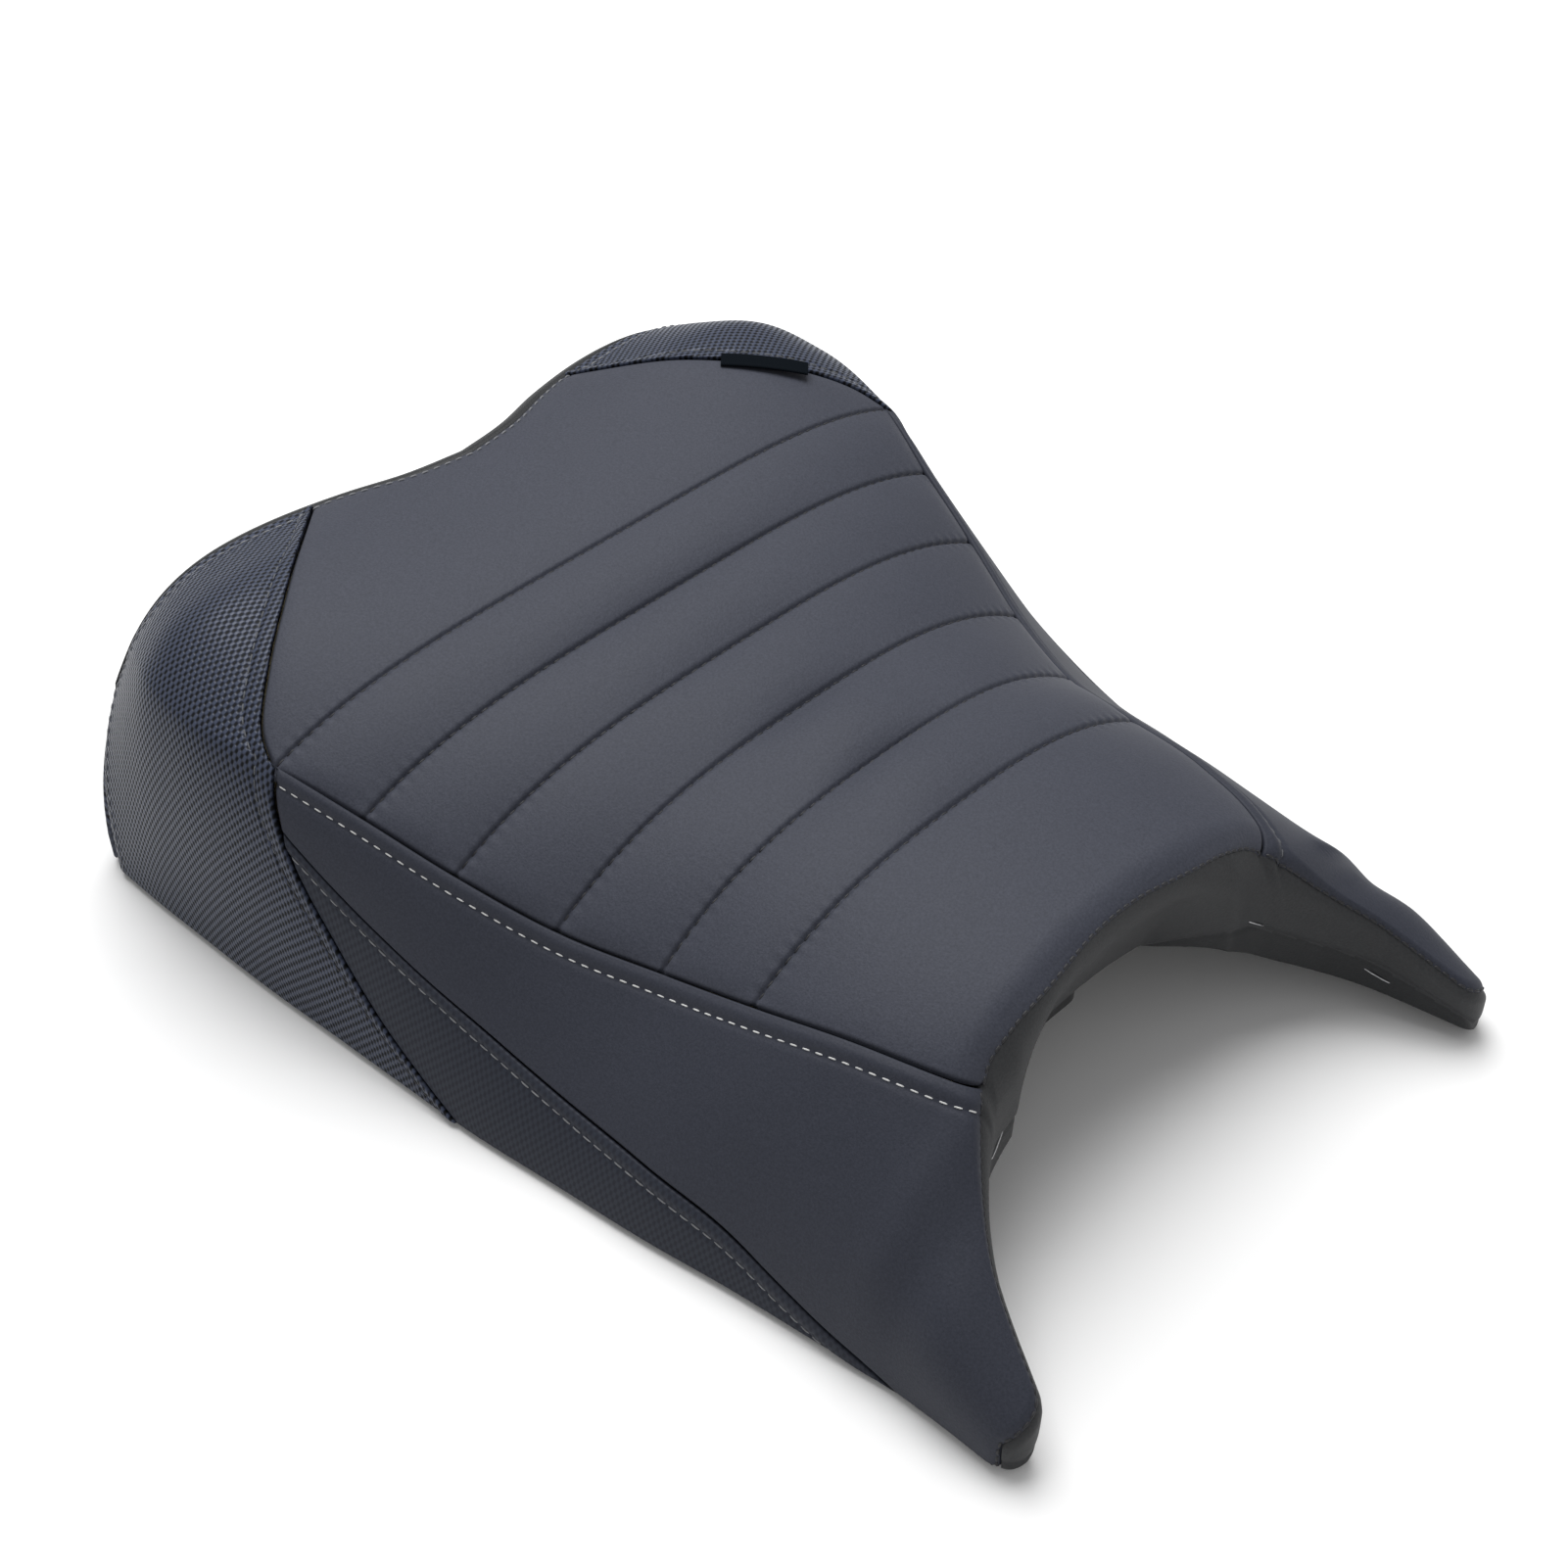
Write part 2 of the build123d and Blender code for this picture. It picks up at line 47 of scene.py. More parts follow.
# ---------------------------------------------------------------- sizes, in millimetres
STATION_COLUMNS = ("x", "seam_y", "seam_z", "crown_z", "hem_y", "square", "dish", "full")
STATIONS = np.array([
    (-220, 134, 84, 106, 173.5, 6.5, 2, 0),
    (-190, 149, 98.5, 114, 173.5, 7.5, 8, 0),
    (-170, 157, 103.5, 117.5, 173, 7.5, 12, 0),
    (-150, 159, 103.5, 117.5, 172, 7, 9, 0),
    (-105, 150, 100, 115, 169.5, 4.3, 0, 0),
    (-72, 139.5, 90, 108.5, 166.5, 3.7, 0, 0),
    (-38, 129, 79.5, 103.5, 163.5, 3.2, 0, 0),
    (-3, 116.5, 70, 98.5, 160, 3, 0, 0),
    (33, 104, 68.5, 98.5, 154.5, 2.9, 0, 0),
    (69, 96.5, 74.5, 100, 149, 2.8, 0, 0),
    (105, 88.5, 81, 99.5, 142, 2.8, 0, 0),
    (138, 78, 81, 98, 136.5, 2.8, 0, 0.3),
    (149, 72, 78.5, 96.5, 134.5, 2.8, 0, 0.55),
    (162, 69, 66, 81, 132.7, 2.8, 0, 0.75),
    (180, 66, 45, 55, 131, 2.8, 0, 1.45),
    (216, 63, 25, 31, 129.5, 2.8, 0, 1.5),
])
# Plan curve of the rear wall as (half-width, x), and of the tank notch as (half-width, x).
TAIL = [(0, -190), (24, -194.5), (46, -203), (70, -209.5), (96, -213), (120, -214), (146, -214),
        (160, -211.5), (170, -205), (177, -194), (182, -181)]
NOTCH = [(0, 142), (14, 142.5), (28, 144), (42, 146), (54, 147), (68, 149), (76, 153.5), (84, 159.5),
         (93, 168), (101, 179), (107, 192), (111.5, 203), (115, 210.5), (120.5, 213)]
HORN_END = [(127, 211.5), (131, 207)]
NOTCH_TOP = 97.0
NOTCH_RAKE = 0.36
RAKE_START, RAKE_END = 30.0, 56.0
ARCH = [(0, 1), (18, 1), (34, 0.985), (54, 0.88), (77, 0.54), (90, 0.38), (107, 0.19), (124, 0)]
ARCH_HEIGHT = [(-240, 36), (-175, 36), (-110, 37), (-60, 42), (-10, 47), (40, 48), (240, 48)]
CORNER_PLAN = [(-215, 48), (-190, 71), (-171, 89), (-151, 110), (-133, 130), (-118, 145.5), (-105, 151.5)]
CORNER_EDGE = [(-105, 101), (-100, 88), (-90, 70), (-73, 48), (-52, 27), (-28, 11), (-10, 1.2)]
TRIM_EDGE = [(-96, 81), (-75, 67), (-42, 51), (-7, 38.5), (28, 30), (61, 26.5), (92, 22.5),
             (124, 14), (150, 6.5), (168, 1.5)]
QUILT_LINES = (-105, -72.6, -38.7, -3.2, 33.7, 69.1)
HEM_Z = 1.2              # underside of the turned hem
HEM_INNER = 14.0
HEM_STOP = 126.5         # half-width inside which the hem isn't turned under
THICK = 2.4
REAR_BAND_HALF = 150.0
TOPSTITCH = 8.0          # from the folded edge of a panel
REAR_STITCH = 3.0        # from the rear seam
REAR_ROLL = 8.5          # the rear band rolls over the top edge and meets the panels here
ROLL_DROP = 0.5          # height of that roll as a share of its depth
LAP = 1.0                # how far the corner panels stand proud along their inner edge
# Below this height the corner topstitch is painted darker, as shade.
SHADED_STITCH_BELOW = 70.0
# Ends of the staples in a horn's inner face, as (half-width, height).
BAND_STAPLES = [((60.6, 55.5), (72.7, 45.5)), ((98.0, 24.0), (105.0, 17.0))]
STAPLE_SPAN = 12.0
LABEL_RISE = 2.6         # middle of the folded label above the cover's own form
STITCH_PITCH = 4.8
SEAT_HALF_LENGTH = 214
CORNER_FRONT = -105      # front end of the corner panel on the top seam
TRIM_FRONT = 168         # where the lower trim runs out
WRAP_HALF = 171.0        # half-width at which the corner panel's rear wall ends


# ---------------------------------------------------------------- curves and the seat's skin
def through(pairs):
    """Smooth function through (x, value) pairs with slopes taken from the neighbours."""
    knots = np.array(pairs, float)
    kx, ky = knots[:, 0], knots[:, 1]
    step = np.diff(kx)
    rise = np.diff(ky) / step
    slope = np.concatenate([rise[:1], (rise[:-1] * step[1:] + rise[1:] * step[:-1])
                            / (step[:-1] + step[1:]), rise[-1:]])

    def value(x):
        x = np.clip(np.asarray(x, float), kx[0], kx[-1])
        i = np.clip(np.searchsorted(kx, x, side="right") - 1, 0, len(kx) - 2)
        t = (x - kx[i]) / step[i]
        return ((2 * t**3 - 3 * t**2 + 1) * ky[i] + (t**3 - 2 * t**2 + t) * step[i] * slope[i]
                + (3 * t**2 - 2 * t**3) * ky[i + 1] + (t**3 - t**2) * step[i] * slope[i + 1])
    return value


column = {name: through(STATIONS[:, [0, i]]) for i, name in enumerate(STATION_COLUMNS) if i}
tail_x = through(TAIL)
notch_x = through(NOTCH)
corner_y = through(CORNER_PLAN)
corner_z = through(CORNER_EDGE)
trim_z = through(TRIM_EDGE)
arch_share = through(ARCH)
arch_top = through(ARCH_HEIGHT)


def skin(x, v):
    """Half-width and height of the outer skin: v 0 to 1 crown to seam, 1 to 2 seam to ground."""
    seam_y, seam_z, crown = column["seam_y"](x), column["seam_z"](x), column["crown_z"](x)
    hem_y, square, dish = column["hem_y"](x), column["square"](x), column["dish"](x)
    drop = crown + dish - seam_z
    r = np.clip(v, 0, 1)
    t = np.clip(v - 1, 0, 1)
    full = column["full"](x)
    slope = ((square * drop - 2 * dish) / seam_y + 0.15) * (1 - 0.75 * full)
    run = 0.42 * np.minimum(1.6 * (hem_y - seam_y) + 4, 40) * (1 + 0.6 * full) / np.hypot(1, slope)
    a, b, c, d = (1 - t) ** 3, 3 * t * (1 - t) ** 2, 3 * t * t * (1 - t), t**3
    shin_y = hem_y - 0.12 * (hem_y - seam_y) * (1 - full) + 1 + 1.5 * full
    y = a * seam_y + b * (seam_y + run) + c * shin_y + d * hem_y
    z = a * seam_z + b * (seam_z - run * slope) + c * (0.45 + 0.5 * full) * seam_z
    upper = v <= 1
    return (np.where(upper, seam_y * r, y),
            np.where(upper, crown + dish * r**2 - drop * r**square, z))


FINE = np.linspace(0, 2, 401)


def place_on_skin(x, target, part):
    """Place v where the skin at station x reaches a half-width (part 0) or height (part 1)."""
    x, target = np.broadcast_arrays(np.asarray(x, float), np.asarray(target, float))
    result = np.empty(x.size)
    for k, (xk, goal) in enumerate(zip(x.ravel(), target.ravel())):
        values = skin(np.full(FINE.shape, xk), FINE)[part]
        if part:
            result[k] = np.interp(-goal, -values[200:], FINE[200:])
        else:
            result[k] = np.interp(goal, values, FINE)
    return result.reshape(x.shape)


def skin_height(x, y):
    """Height of the skin above a plan position."""
    v = place_on_skin(x, y, 0)
    return skin(np.asarray(x, float), v)[1]


def spread(count, pull=0.75):
    """Values from 0 to 1, closer together near both ends."""
    t = np.linspace(0, 1, count)
    return t - pull * np.sin(2 * np.pi * t) / (2 * np.pi)


def table(keys, values):
    """Straight-line lookup from keys to values, in any order."""
    order = np.argsort(keys)
    return lambda v: np.interp(v, np.asarray(keys)[order], np.asarray(values)[order])


# Boundaries of the cover panels, as functions over the skin.
rear_v = np.linspace(0.3, 2, 90)
rear_x = np.full(rear_v.shape, -205.0)
for _ in range(8):
    rear_x = 0.5 * rear_x + 0.5 * tail_x(skin(rear_x, rear_v)[0])
x_behind = table(rear_v, rear_x)

plan_x = np.linspace(-206, -105, 50)
wall_x = np.linspace(-104, -11, 50)
corner_v = np.concatenate([corner_y(plan_x) / column["seam_y"](plan_x),
                           place_on_skin(wall_x, corner_z(wall_x), 1)])
x_corner = table(corner_v, np.concatenate([plan_x, wall_x]))
v_corner_tip = corner_v[0]

path_x = through([(i, x) for i, (y, x) in enumerate(NOTCH + HORN_END)])
path_y = through([(i, y) for i, (y, x) in enumerate(NOTCH + HORN_END)])
horn_t = np.linspace(0, len(NOTCH + HORN_END) - 1, 1500)
PATH_END = float(np.max(horn_t[path_y(horn_t) < column["hem_y"](path_x(horn_t)) - 0.1]))
horn_t = np.linspace(5, PATH_END, 80)
horn_v = place_on_skin(path_x(horn_t), path_y(horn_t), 0)
x_notch = table(horn_v, path_x(horn_t))

all_x = np.linspace(-SEAT_HALF_LENGTH, SEAT_HALF_LENGTH, 120)
v_hem = table(all_x, place_on_skin(all_x, HEM_Z, 1))
trim_x = np.linspace(-104, TRIM_FRONT, 80)
v_trim_line = place_on_skin(trim_x, trim_z(trim_x), 1)


def v_trim(x):
    """Skin line of the seam between side panel and lower trim."""
    return np.where(x < TRIM_FRONT, np.interp(x, trim_x, v_trim_line), v_hem(x))


# ---------------------------------------------------------------- sheets of cover
def on_skin(x, v, flip):
    """Points of the skin on one side: flip is 1 for left, -1 for right."""
    y, z = skin(x, v)
    return np.stack([x, flip * y, z], -1)


def normals(points, outward):
    """Unit normals of a grid of points, facing roughly along outward."""
    du = np.gradient(points, axis=0)
    dw = np.gradient(points, axis=1)
    n = np.cross(du, dw)
    size = np.linalg.norm(n, axis=-1, keepdims=True)
    n = n / np.maximum(size, 1e-9)
    facing = np.sign(np.sum(n * outward, axis=-1, keepdims=True))
    return n * np.where(np.mean(facing) < 0, -1, 1)


def from_border(points, axis, end):
    """Distance of each grid point from one border, and the direction that leads away from it."""
    grid = np.swapaxes(points, 0, axis)
    grid = grid[::-1] if end else grid
    step = np.diff(grid, axis=0)
    length = np.linalg.norm(step, axis=-1)
    distance = np.concatenate([np.zeros((1,) + length.shape[1:]), np.cumsum(length, axis=0)])
    away = np.gradient(grid, axis=0)
    away = away / np.maximum(np.linalg.norm(away, axis=-1, keepdims=True), 1e-9)
    if end:
        distance, away = distance[::-1], away[::-1]
    return np.swapaxes(distance, 0, axis), np.swapaxes(away, 0, axis)


def finish_edges(points, normal, borders):
    """Round a sheet over, or draw it down into a seam, along each listed border."""
    moved = points.copy()
    for axis, end, kind, size in borders:
        distance, away = from_border(points, axis, end)
        if kind == "round":
            turn = (1 - np.clip(distance / size, 0, 1)) * np.pi / 4
            inside = distance < size
            along = np.where(inside, size * (1 - np.sin(turn)) - distance, 0)
            drop = np.where(inside, size * (1 - np.cos(turn)), 0)
            moved += away * along[..., None] - normal * drop[..., None]
        else:
            depth, width, swell = size
            moved -= normal * (depth * np.exp(-(distance / width) ** 2))[..., None]
            moved += normal * (swell * np.exp(-((distance - 3 * width) / (1.5 * width)) ** 2))[..., None]
    return moved


def stitch_dips(points, normal, rows):
    """Press a sheet in along topstitch rows, given as (axis, end, distance, depth, width)."""
    moved = points.copy()
    for axis, end, gap, depth, width in rows:
        distance, _ = from_border(points, axis, end)
        moved -= normal * (depth * np.exp(-((distance - gap) / width) ** 2))[..., None]
    return moved


GIRTH_ROWS, GIRTH_STEPS = 120, 200
girth_x = np.linspace(-SEAT_HALF_LENGTH, SEAT_HALF_LENGTH, GIRTH_ROWS)[:, None]
girth_v = np.linspace(0, 2, GIRTH_STEPS)[None, :]
girth_y, girth_z = skin(girth_x + 0 * girth_v, girth_v + 0 * girth_x)
girth = np.concatenate([np.zeros((GIRTH_ROWS, 1)), np.cumsum(
    np.hypot(np.diff(girth_y, axis=1), np.diff(girth_z, axis=1)), axis=1)], axis=1)


def cloth_on_skin(x, v):
    """Cloth coordinates: length along the seat, and length round its section from the middle."""
    row = np.clip((x + SEAT_HALF_LENGTH) / (2 * SEAT_HALF_LENGTH), 0, 0.9999) * (GIRTH_ROWS - 1)
    col = np.clip(v / 2, 0, 0.9999) * (GIRTH_STEPS - 1)
    i, j = row.astype(int), col.astype(int)
    a, b = row - i, col - j
    run = ((1 - a) * (1 - b) * girth[i, j] + a * (1 - b) * girth[i + 1, j]
           + (1 - a) * b * girth[i, j + 1] + a * b * girth[i + 1, j + 1])
    return np.stack([x, run, 0 * run], -1)


def grid_quads(number):
    """Faces between the neighbours of a grid of vertex numbers."""
    a, b, c, d = number[:-1, :-1], number[1:, :-1], number[1:, 1:], number[:-1, 1:]
    return np.stack([a, b, c, d], -1).reshape(-1, 4)


def rim_quads(number):
    """Faces that join the border of a grid to that of its copy, numbered straight after it."""
    ring = np.concatenate([number[:, 0], number[-1, 1:], number[-2::-1, -1], number[0, -2:0:-1]])
    following = np.roll(ring, -1)
    return np.stack([ring, following, following + number.size, ring + number.size], -1)


def shell_mesh(grids, thick):
    """Closed mesh data for a list of (points, normal, cloth) grids, each given a thickness."""
    verts, faces, cloth = [], [], []
    base = 0
    for points, normal, flat in grids:
        nu, nw = points.shape[:2]
        inner = points - normal * thick
        verts += [points.reshape(-1, 3), inner.reshape(-1, 3)]
        cloth += [flat.reshape(-1, 3)] * 2
        number = base + np.arange(nu * nw).reshape(nu, nw)
        quads = grid_quads(number)
        du = points[1:, :-1] - points[:-1, :-1]
        dw = points[:-1, 1:] - points[:-1, :-1]
        if np.mean(np.sum(np.cross(du, dw) * normal[:-1, :-1], -1)) < 0:
            quads = quads[:, ::-1]
        faces += [quads, quads[:, ::-1] + nu * nw, rim_quads(number)]
        base += 2 * nu * nw
    return np.concatenate(verts), np.concatenate(faces), np.concatenate(cloth)


def add_object(name, data):
    """New object in the scene that shows a mesh, lamp or camera."""
    item = bpy.data.objects.new(name, data)
    bpy.context.scene.collection.objects.link(item)
    return item


def set_cloth(mesh, cloth):
    """Store cloth coordinates, which the woven materials follow."""
    layer = mesh.attributes.new("cloth", "FLOAT_VECTOR", "POINT")
    layer.data.foreach_set("vector", np.asarray(cloth, np.float32).ravel())


def make_object(name, verts, faces, material, cloth=None):
    """New object from arrays in millimetres, riding on the seat."""
    mesh = bpy.data.meshes.new(name)
    mesh.from_pydata((np.asarray(verts) * MM).tolist(), [], np.asarray(faces).tolist())
    if cloth is not None:
        set_cloth(mesh, cloth)
    tidy = bmesh.new()
    tidy.from_mesh(mesh)
    bmesh.ops.remove_doubles(tidy, verts=tidy.verts, dist=2e-6)
    bmesh.ops.dissolve_degenerate(tidy, edges=tidy.edges, dist=1e-6)
    bmesh.ops.recalc_face_normals(tidy, faces=tidy.faces)
    tidy.to_mesh(mesh)
    tidy.free()
    mesh.polygons.foreach_set("use_smooth", [True] * len(mesh.polygons))
    piece = add_object(name, mesh)
    mesh.materials.append(material)
    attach(piece, "root")
    return piece


def sewn_object(name, grids, material, thick=THICK):
    """New object from one or more sheets of cover, each a (points, normal, cloth) grid."""
    verts, faces, cloth = shell_mesh(grids, thick)
    return make_object(name, verts, faces, material, cloth)


def stitches(name, path, material, length=3.1, pitch=STITCH_PITCH, radius=0.42, sink=0.0):
    """A row of thread stitches along a list of (points, normals) paths."""
    verts, faces = [], []
    base = 0
    profile = [(-0.5, 0.25, -0.5), (-0.42, 0.8, -0.1), (-0.2, 1, 0.12), (0.2, 1, 0.12),
               (0.42, 0.8, -0.1), (0.5, 0.25, -0.5)]
    sides = 6
    for points, normal in path:
        step = np.linalg.norm(np.diff(points, axis=0), axis=-1)
        run = np.concatenate([[0], np.cumsum(step)])
        count = int(run[-1] // pitch)
        for k in range(count):
            at = (k + 0.5) * pitch + 0.5 * (run[-1] - count * pitch)
            here = np.array([np.interp(at, run, points[:, i]) for i in range(3)])
            ahead = np.array([np.interp(at + 0.5, run, points[:, i]) for i in range(3)]) - here
            up = np.array([np.interp(at, run, normal[:, i]) for i in range(3)])
            ahead = ahead / max(np.linalg.norm(ahead), 1e-9)
            up = up - ahead * np.dot(up, ahead)
            up = up / max(np.linalg.norm(up), 1e-9)
            side = np.cross(ahead, up)
            for along, size, rise in profile:
                middle = here + ahead * along * length + up * (rise * radius * 2 - sink)
                for s in range(sides):
                    angle = 2 * np.pi * s / sides
                    verts.append(middle + size * radius * (np.cos(angle) * side + np.sin(angle) * up))
            rows = len(profile)
            for r in range(rows - 1):
                for s in range(sides):
                    t = (s + 1) % sides
                    faces.append((base + r * sides + s, base + r * sides + t,
                                  base + (r + 1) * sides + t, base + (r + 1) * sides + s))
            faces.append(tuple(base + s for s in reversed(range(sides))))
            faces.append(tuple(base + (rows - 1) * sides + s for s in range(sides)))
            base += rows * sides
    mesh = bpy.data.meshes.new(name)
    mesh.from_pydata([tuple(v * MM) for v in verts], [], faces)
    mesh.polygons.foreach_set("use_smooth", [True] * len(mesh.polygons))
    mesh.materials.append(material)
    piece = add_object(name, mesh)
    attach(piece, "root")
    return piece


def row_at(points, normal, axis, end, gap):
    """Line on a sheet at a distance from one border: its points and normals."""
    distance, _ = from_border(points, axis, end)
    grid = np.moveaxis(points, axis, 0)
    out = np.moveaxis(normal, axis, 0)
    away = np.moveaxis(distance, axis, 0)
    if end:
        grid, out, away = grid[::-1], out[::-1], away[::-1]
    line, up = [], []
    for j in range(grid.shape[1]):
        if away[-1, j] < gap:
            continue
        line.append([np.interp(gap, away[:, j], grid[:, j, i]) for i in range(3)])
        up.append([np.interp(gap, away[:, j], out[:, j, i]) for i in range(3)])
    return np.array(line), np.array(up)


# ---------------------------------------------------------------- materials
def new_material(name, base, rough, specular=0.5, metallic=0.0):
    """Node material with its plain values set on the shader; returns it with its node tree."""
    material = bpy.data.materials.new(name)
    material.use_nodes = True
    shader = material.node_tree.nodes["Principled BSDF"]
    shader.inputs["Base Color"].default_value = (*base, 1)
    shader.inputs["Roughness"].default_value = rough
    shader.inputs["Specular IOR Level"].default_value = specular
    shader.inputs["Metallic"].default_value = metallic
    return material, material.node_tree, shader


def add_node(tree, kind, inputs=None, **settings):
    """New node with linked or plain inputs."""
    node = tree.nodes.new(kind)
    for key, value in settings.items():
        setattr(node, key, value)
    for key, value in (inputs or {}).items():
        if isinstance(value, bpy.types.NodeSocket):
            tree.links.new(value, node.inputs[key])
        else:
            node.inputs[key].default_value = value
    return node


def grained(name, dark, light, rough, grain, patch, bump, depth, specular=0.5, metallic=0.0,
            pebble=None, sheen=0.0, wear=0.5):
    """Material with a fine grain in colour, roughness and bump, and broad patches of wear."""
    material, tree, shader = new_material(name, light, rough, specular, metallic)
    place = add_node(tree, "ShaderNodeTexCoord").outputs["Object"]
    fine = add_node(tree, "ShaderNodeTexNoise", {"Vector": place, "Scale": grain, "Detail": 4.0,
                                                 "Roughness": 0.65})
    broad = add_node(tree, "ShaderNodeTexNoise", {"Vector": place, "Scale": patch, "Detail": 3.0})
    level = add_node(tree, "ShaderNodeMath", {0: broad.outputs["Fac"], 1: wear, 2: fine.outputs["Fac"]},
                     operation="MULTIPLY_ADD")
    ramp = add_node(tree, "ShaderNodeMapRange", {"Value": level.outputs[0], "From Min": 0.3 + wear / 2,
                                                 "From Max": 0.7 + wear / 2})
    colour = add_node(tree, "ShaderNodeMix", {"Factor": ramp.outputs[0]}, data_type="RGBA")
    colour.inputs["A"].default_value = (*dark, 1)
    colour.inputs["B"].default_value = (*light, 1)
    tree.links.new(colour.outputs["Result"], shader.inputs["Base Color"])
    gloss = add_node(tree, "ShaderNodeMapRange", {"Value": broad.outputs["Fac"], "From Min": 0.3,
                                                  "From Max": 0.7, "To Min": rough - 0.1 * wear,
                                                  "To Max": rough + 0.1 * wear})
    tree.links.new(gloss.outputs[0], shader.inputs["Roughness"])
    height = fine.outputs["Fac"]
    if pebble:
        cells = add_node(tree, "ShaderNodeTexVoronoi", {"Vector": place, "Scale": pebble},
                         feature="SMOOTH_F1")
        cells.inputs["Smoothness"].default_value = 0.6
        mixed = add_node(tree, "ShaderNodeMath", {0: height, 1: cells.outputs["Distance"]},
                         operation="ADD")
        height = mixed.outputs[0]
    relief = add_node(tree, "ShaderNodeBump", {"Height": height, "Strength": bump, "Distance": depth})
    tree.links.new(relief.outputs["Normal"], shader.inputs["Normal"])
    if sheen:
        shader.inputs["Sheen Weight"].default_value = sheen
        shader.inputs["Sheen Roughness"].default_value = 0.5
    return material


def woven(name, dark, light, pitch, row, depth, gloss):
    """Coated cloth embossed with staggered pips, pitch apart along a row and row apart across."""
    material, tree, shader = new_material(name, dark, 0.35, 0.2)
    cloth = add_node(tree, "ShaderNodeAttribute", attribute_name="cloth").outputs["Vector"]
    across = add_node(tree, "ShaderNodeSeparateXYZ", {"Vector": cloth})
    waves = []
    for socket, period in (("X", pitch), ("Y", row)):
        phase = add_node(tree, "ShaderNodeMath", {0: across.outputs[socket], 1: 2 * np.pi / period},
                         operation="MULTIPLY")
        waves.append(add_node(tree, "ShaderNodeMath", {0: phase.outputs[0]}, operation="COSINE"))
    pips = add_node(tree, "ShaderNodeMath", {0: waves[0].outputs[0], 1: waves[1].outputs[0]},
                    operation="MULTIPLY")
    level = add_node(tree, "ShaderNodeMapRange", {"Value": pips.outputs[0], "From Min": -0.75,
                                                  "From Max": 0.55}, interpolation_type="SMOOTHSTEP")
    shade = add_node(tree, "ShaderNodeMix", {"Factor": level.outputs[0]}, data_type="RGBA")
    shade.inputs["A"].default_value = (*dark, 1)
    shade.inputs["B"].default_value = (*light, 1)
    tree.links.new(shade.outputs["Result"], shader.inputs["Base Color"])
    polish = add_node(tree, "ShaderNodeMapRange", {"Value": level.outputs[0], "To Min": 0.65,
                                                   "To Max": gloss})
    tree.links.new(polish.outputs[0], shader.inputs["Roughness"])
    relief = add_node(tree, "ShaderNodeBump", {"Height": level.outputs[0], "Strength": 0.9,
                                               "Distance": depth})
    tree.links.new(relief.outputs["Normal"], shader.inputs["Normal"])
    return material


def leatherette(name, dark, light, rough, specular, sheen=0.0):
    """Pebbled cover material."""
    return grained(name, dark, light, rough, 1100, 40, 0.3, 0.0002, specular=specular, pebble=1400,
                   sheen=sheen, wear=0.12)


def thread(name, dark, light, rough=0.7):
    """Sewing thread."""
    return grained(name, dark, light, rough, 3000, 300, 0.4, 0.0002)


vinyl = leatherette("seat_vinyl", (0.030, 0.033, 0.046), (0.047, 0.051, 0.069), 0.62, 0.22, sheen=0.04)
# Darker copy of the seat vinyl: painted shade on the steep side panels.
shaded_side_vinyl = leatherette("shaded_side_vinyl", (0.024, 0.027, 0.038), (0.036, 0.039, 0.054), 0.6, 0.2, sheen=0.02)
band_vinyl = leatherette("band_vinyl", (0.024, 0.025, 0.027), (0.036, 0.037, 0.039), 0.55, 0.25)
# Darkest vinyl: the rear band's own colour; also the turned-under hem, and painted shade on the front band's
# lower fold.
dark_vinyl_and_fold_shade = leatherette("dark_vinyl_and_fold_shade", (0.010, 0.011, 0.012), (0.017, 0.018, 0.020), 0.5, 0.25)
carbon = woven("woven_corner", (0.001, 0.0015, 0.0025), (0.049, 0.059, 0.092), 2.6, 4.1, 0.0003, 0.28)
fine_weave = woven("woven_trim", (0.017, 0.019, 0.028), (0.024, 0.028, 0.040), 2.6, 4.2, 0.00005, 0.55)
white_thread = thread("white_thread", (0.5, 0.5, 0.5), (0.75, 0.75, 0.74))
grey_thread = thread("grey_thread", (0.14, 0.14, 0.15), (0.26, 0.27, 0.28))
pale_thread = thread("pale_thread", (0.10, 0.102, 0.112), (0.20, 0.205, 0.22))
dark_thread = thread("dark_thread", (0.006, 0.006, 0.008), (0.02, 0.02, 0.024), 0.6)
foam_skin = grained("seat_foam", (0.5, 0.42, 0.24), (0.66, 0.58, 0.36), 0.9, 900, 30, 0.7, 0.0006)
pan_plastic = grained("moulded_plastic", (0.012, 0.012, 0.013), (0.024, 0.024, 0.026), 0.55, 700, 25,
                      0.35, 0.0003)
plated_steel = grained("plated_steel", (0.35, 0.35, 0.36), (0.6, 0.6, 0.62), 0.38, 900, 40, 0.1,
                       0.0001, metallic=1.0)
black_steel = grained("coated_steel", (0.010, 0.010, 0.011), (0.022, 0.022, 0.024), 0.42, 900, 50, 0.15,
                      0.0001)
buffer_rubber = grained("buffer_rubber", (0.010, 0.010, 0.010), (0.024, 0.023, 0.023), 0.75, 800, 60,
                        0.3, 0.0002)
# Dim grey thread for the corners' upper topstitch; on the left side's topstitch it is painted shade, a
# darkened stand-in for the white thread.
grey_and_shaded_thread = thread("grey_and_shaded_thread", (0.05, 0.052, 0.058), (0.11, 0.115, 0.125))
label_cloth = woven("label_weave", (0.002, 0.003, 0.004), (0.008, 0.010, 0.013), 1.0, 0.8, 0.00005, 0.6)
label_cloth.node_tree.nodes["Principled BSDF"].inputs["Specular IOR Level"].default_value = 0.0

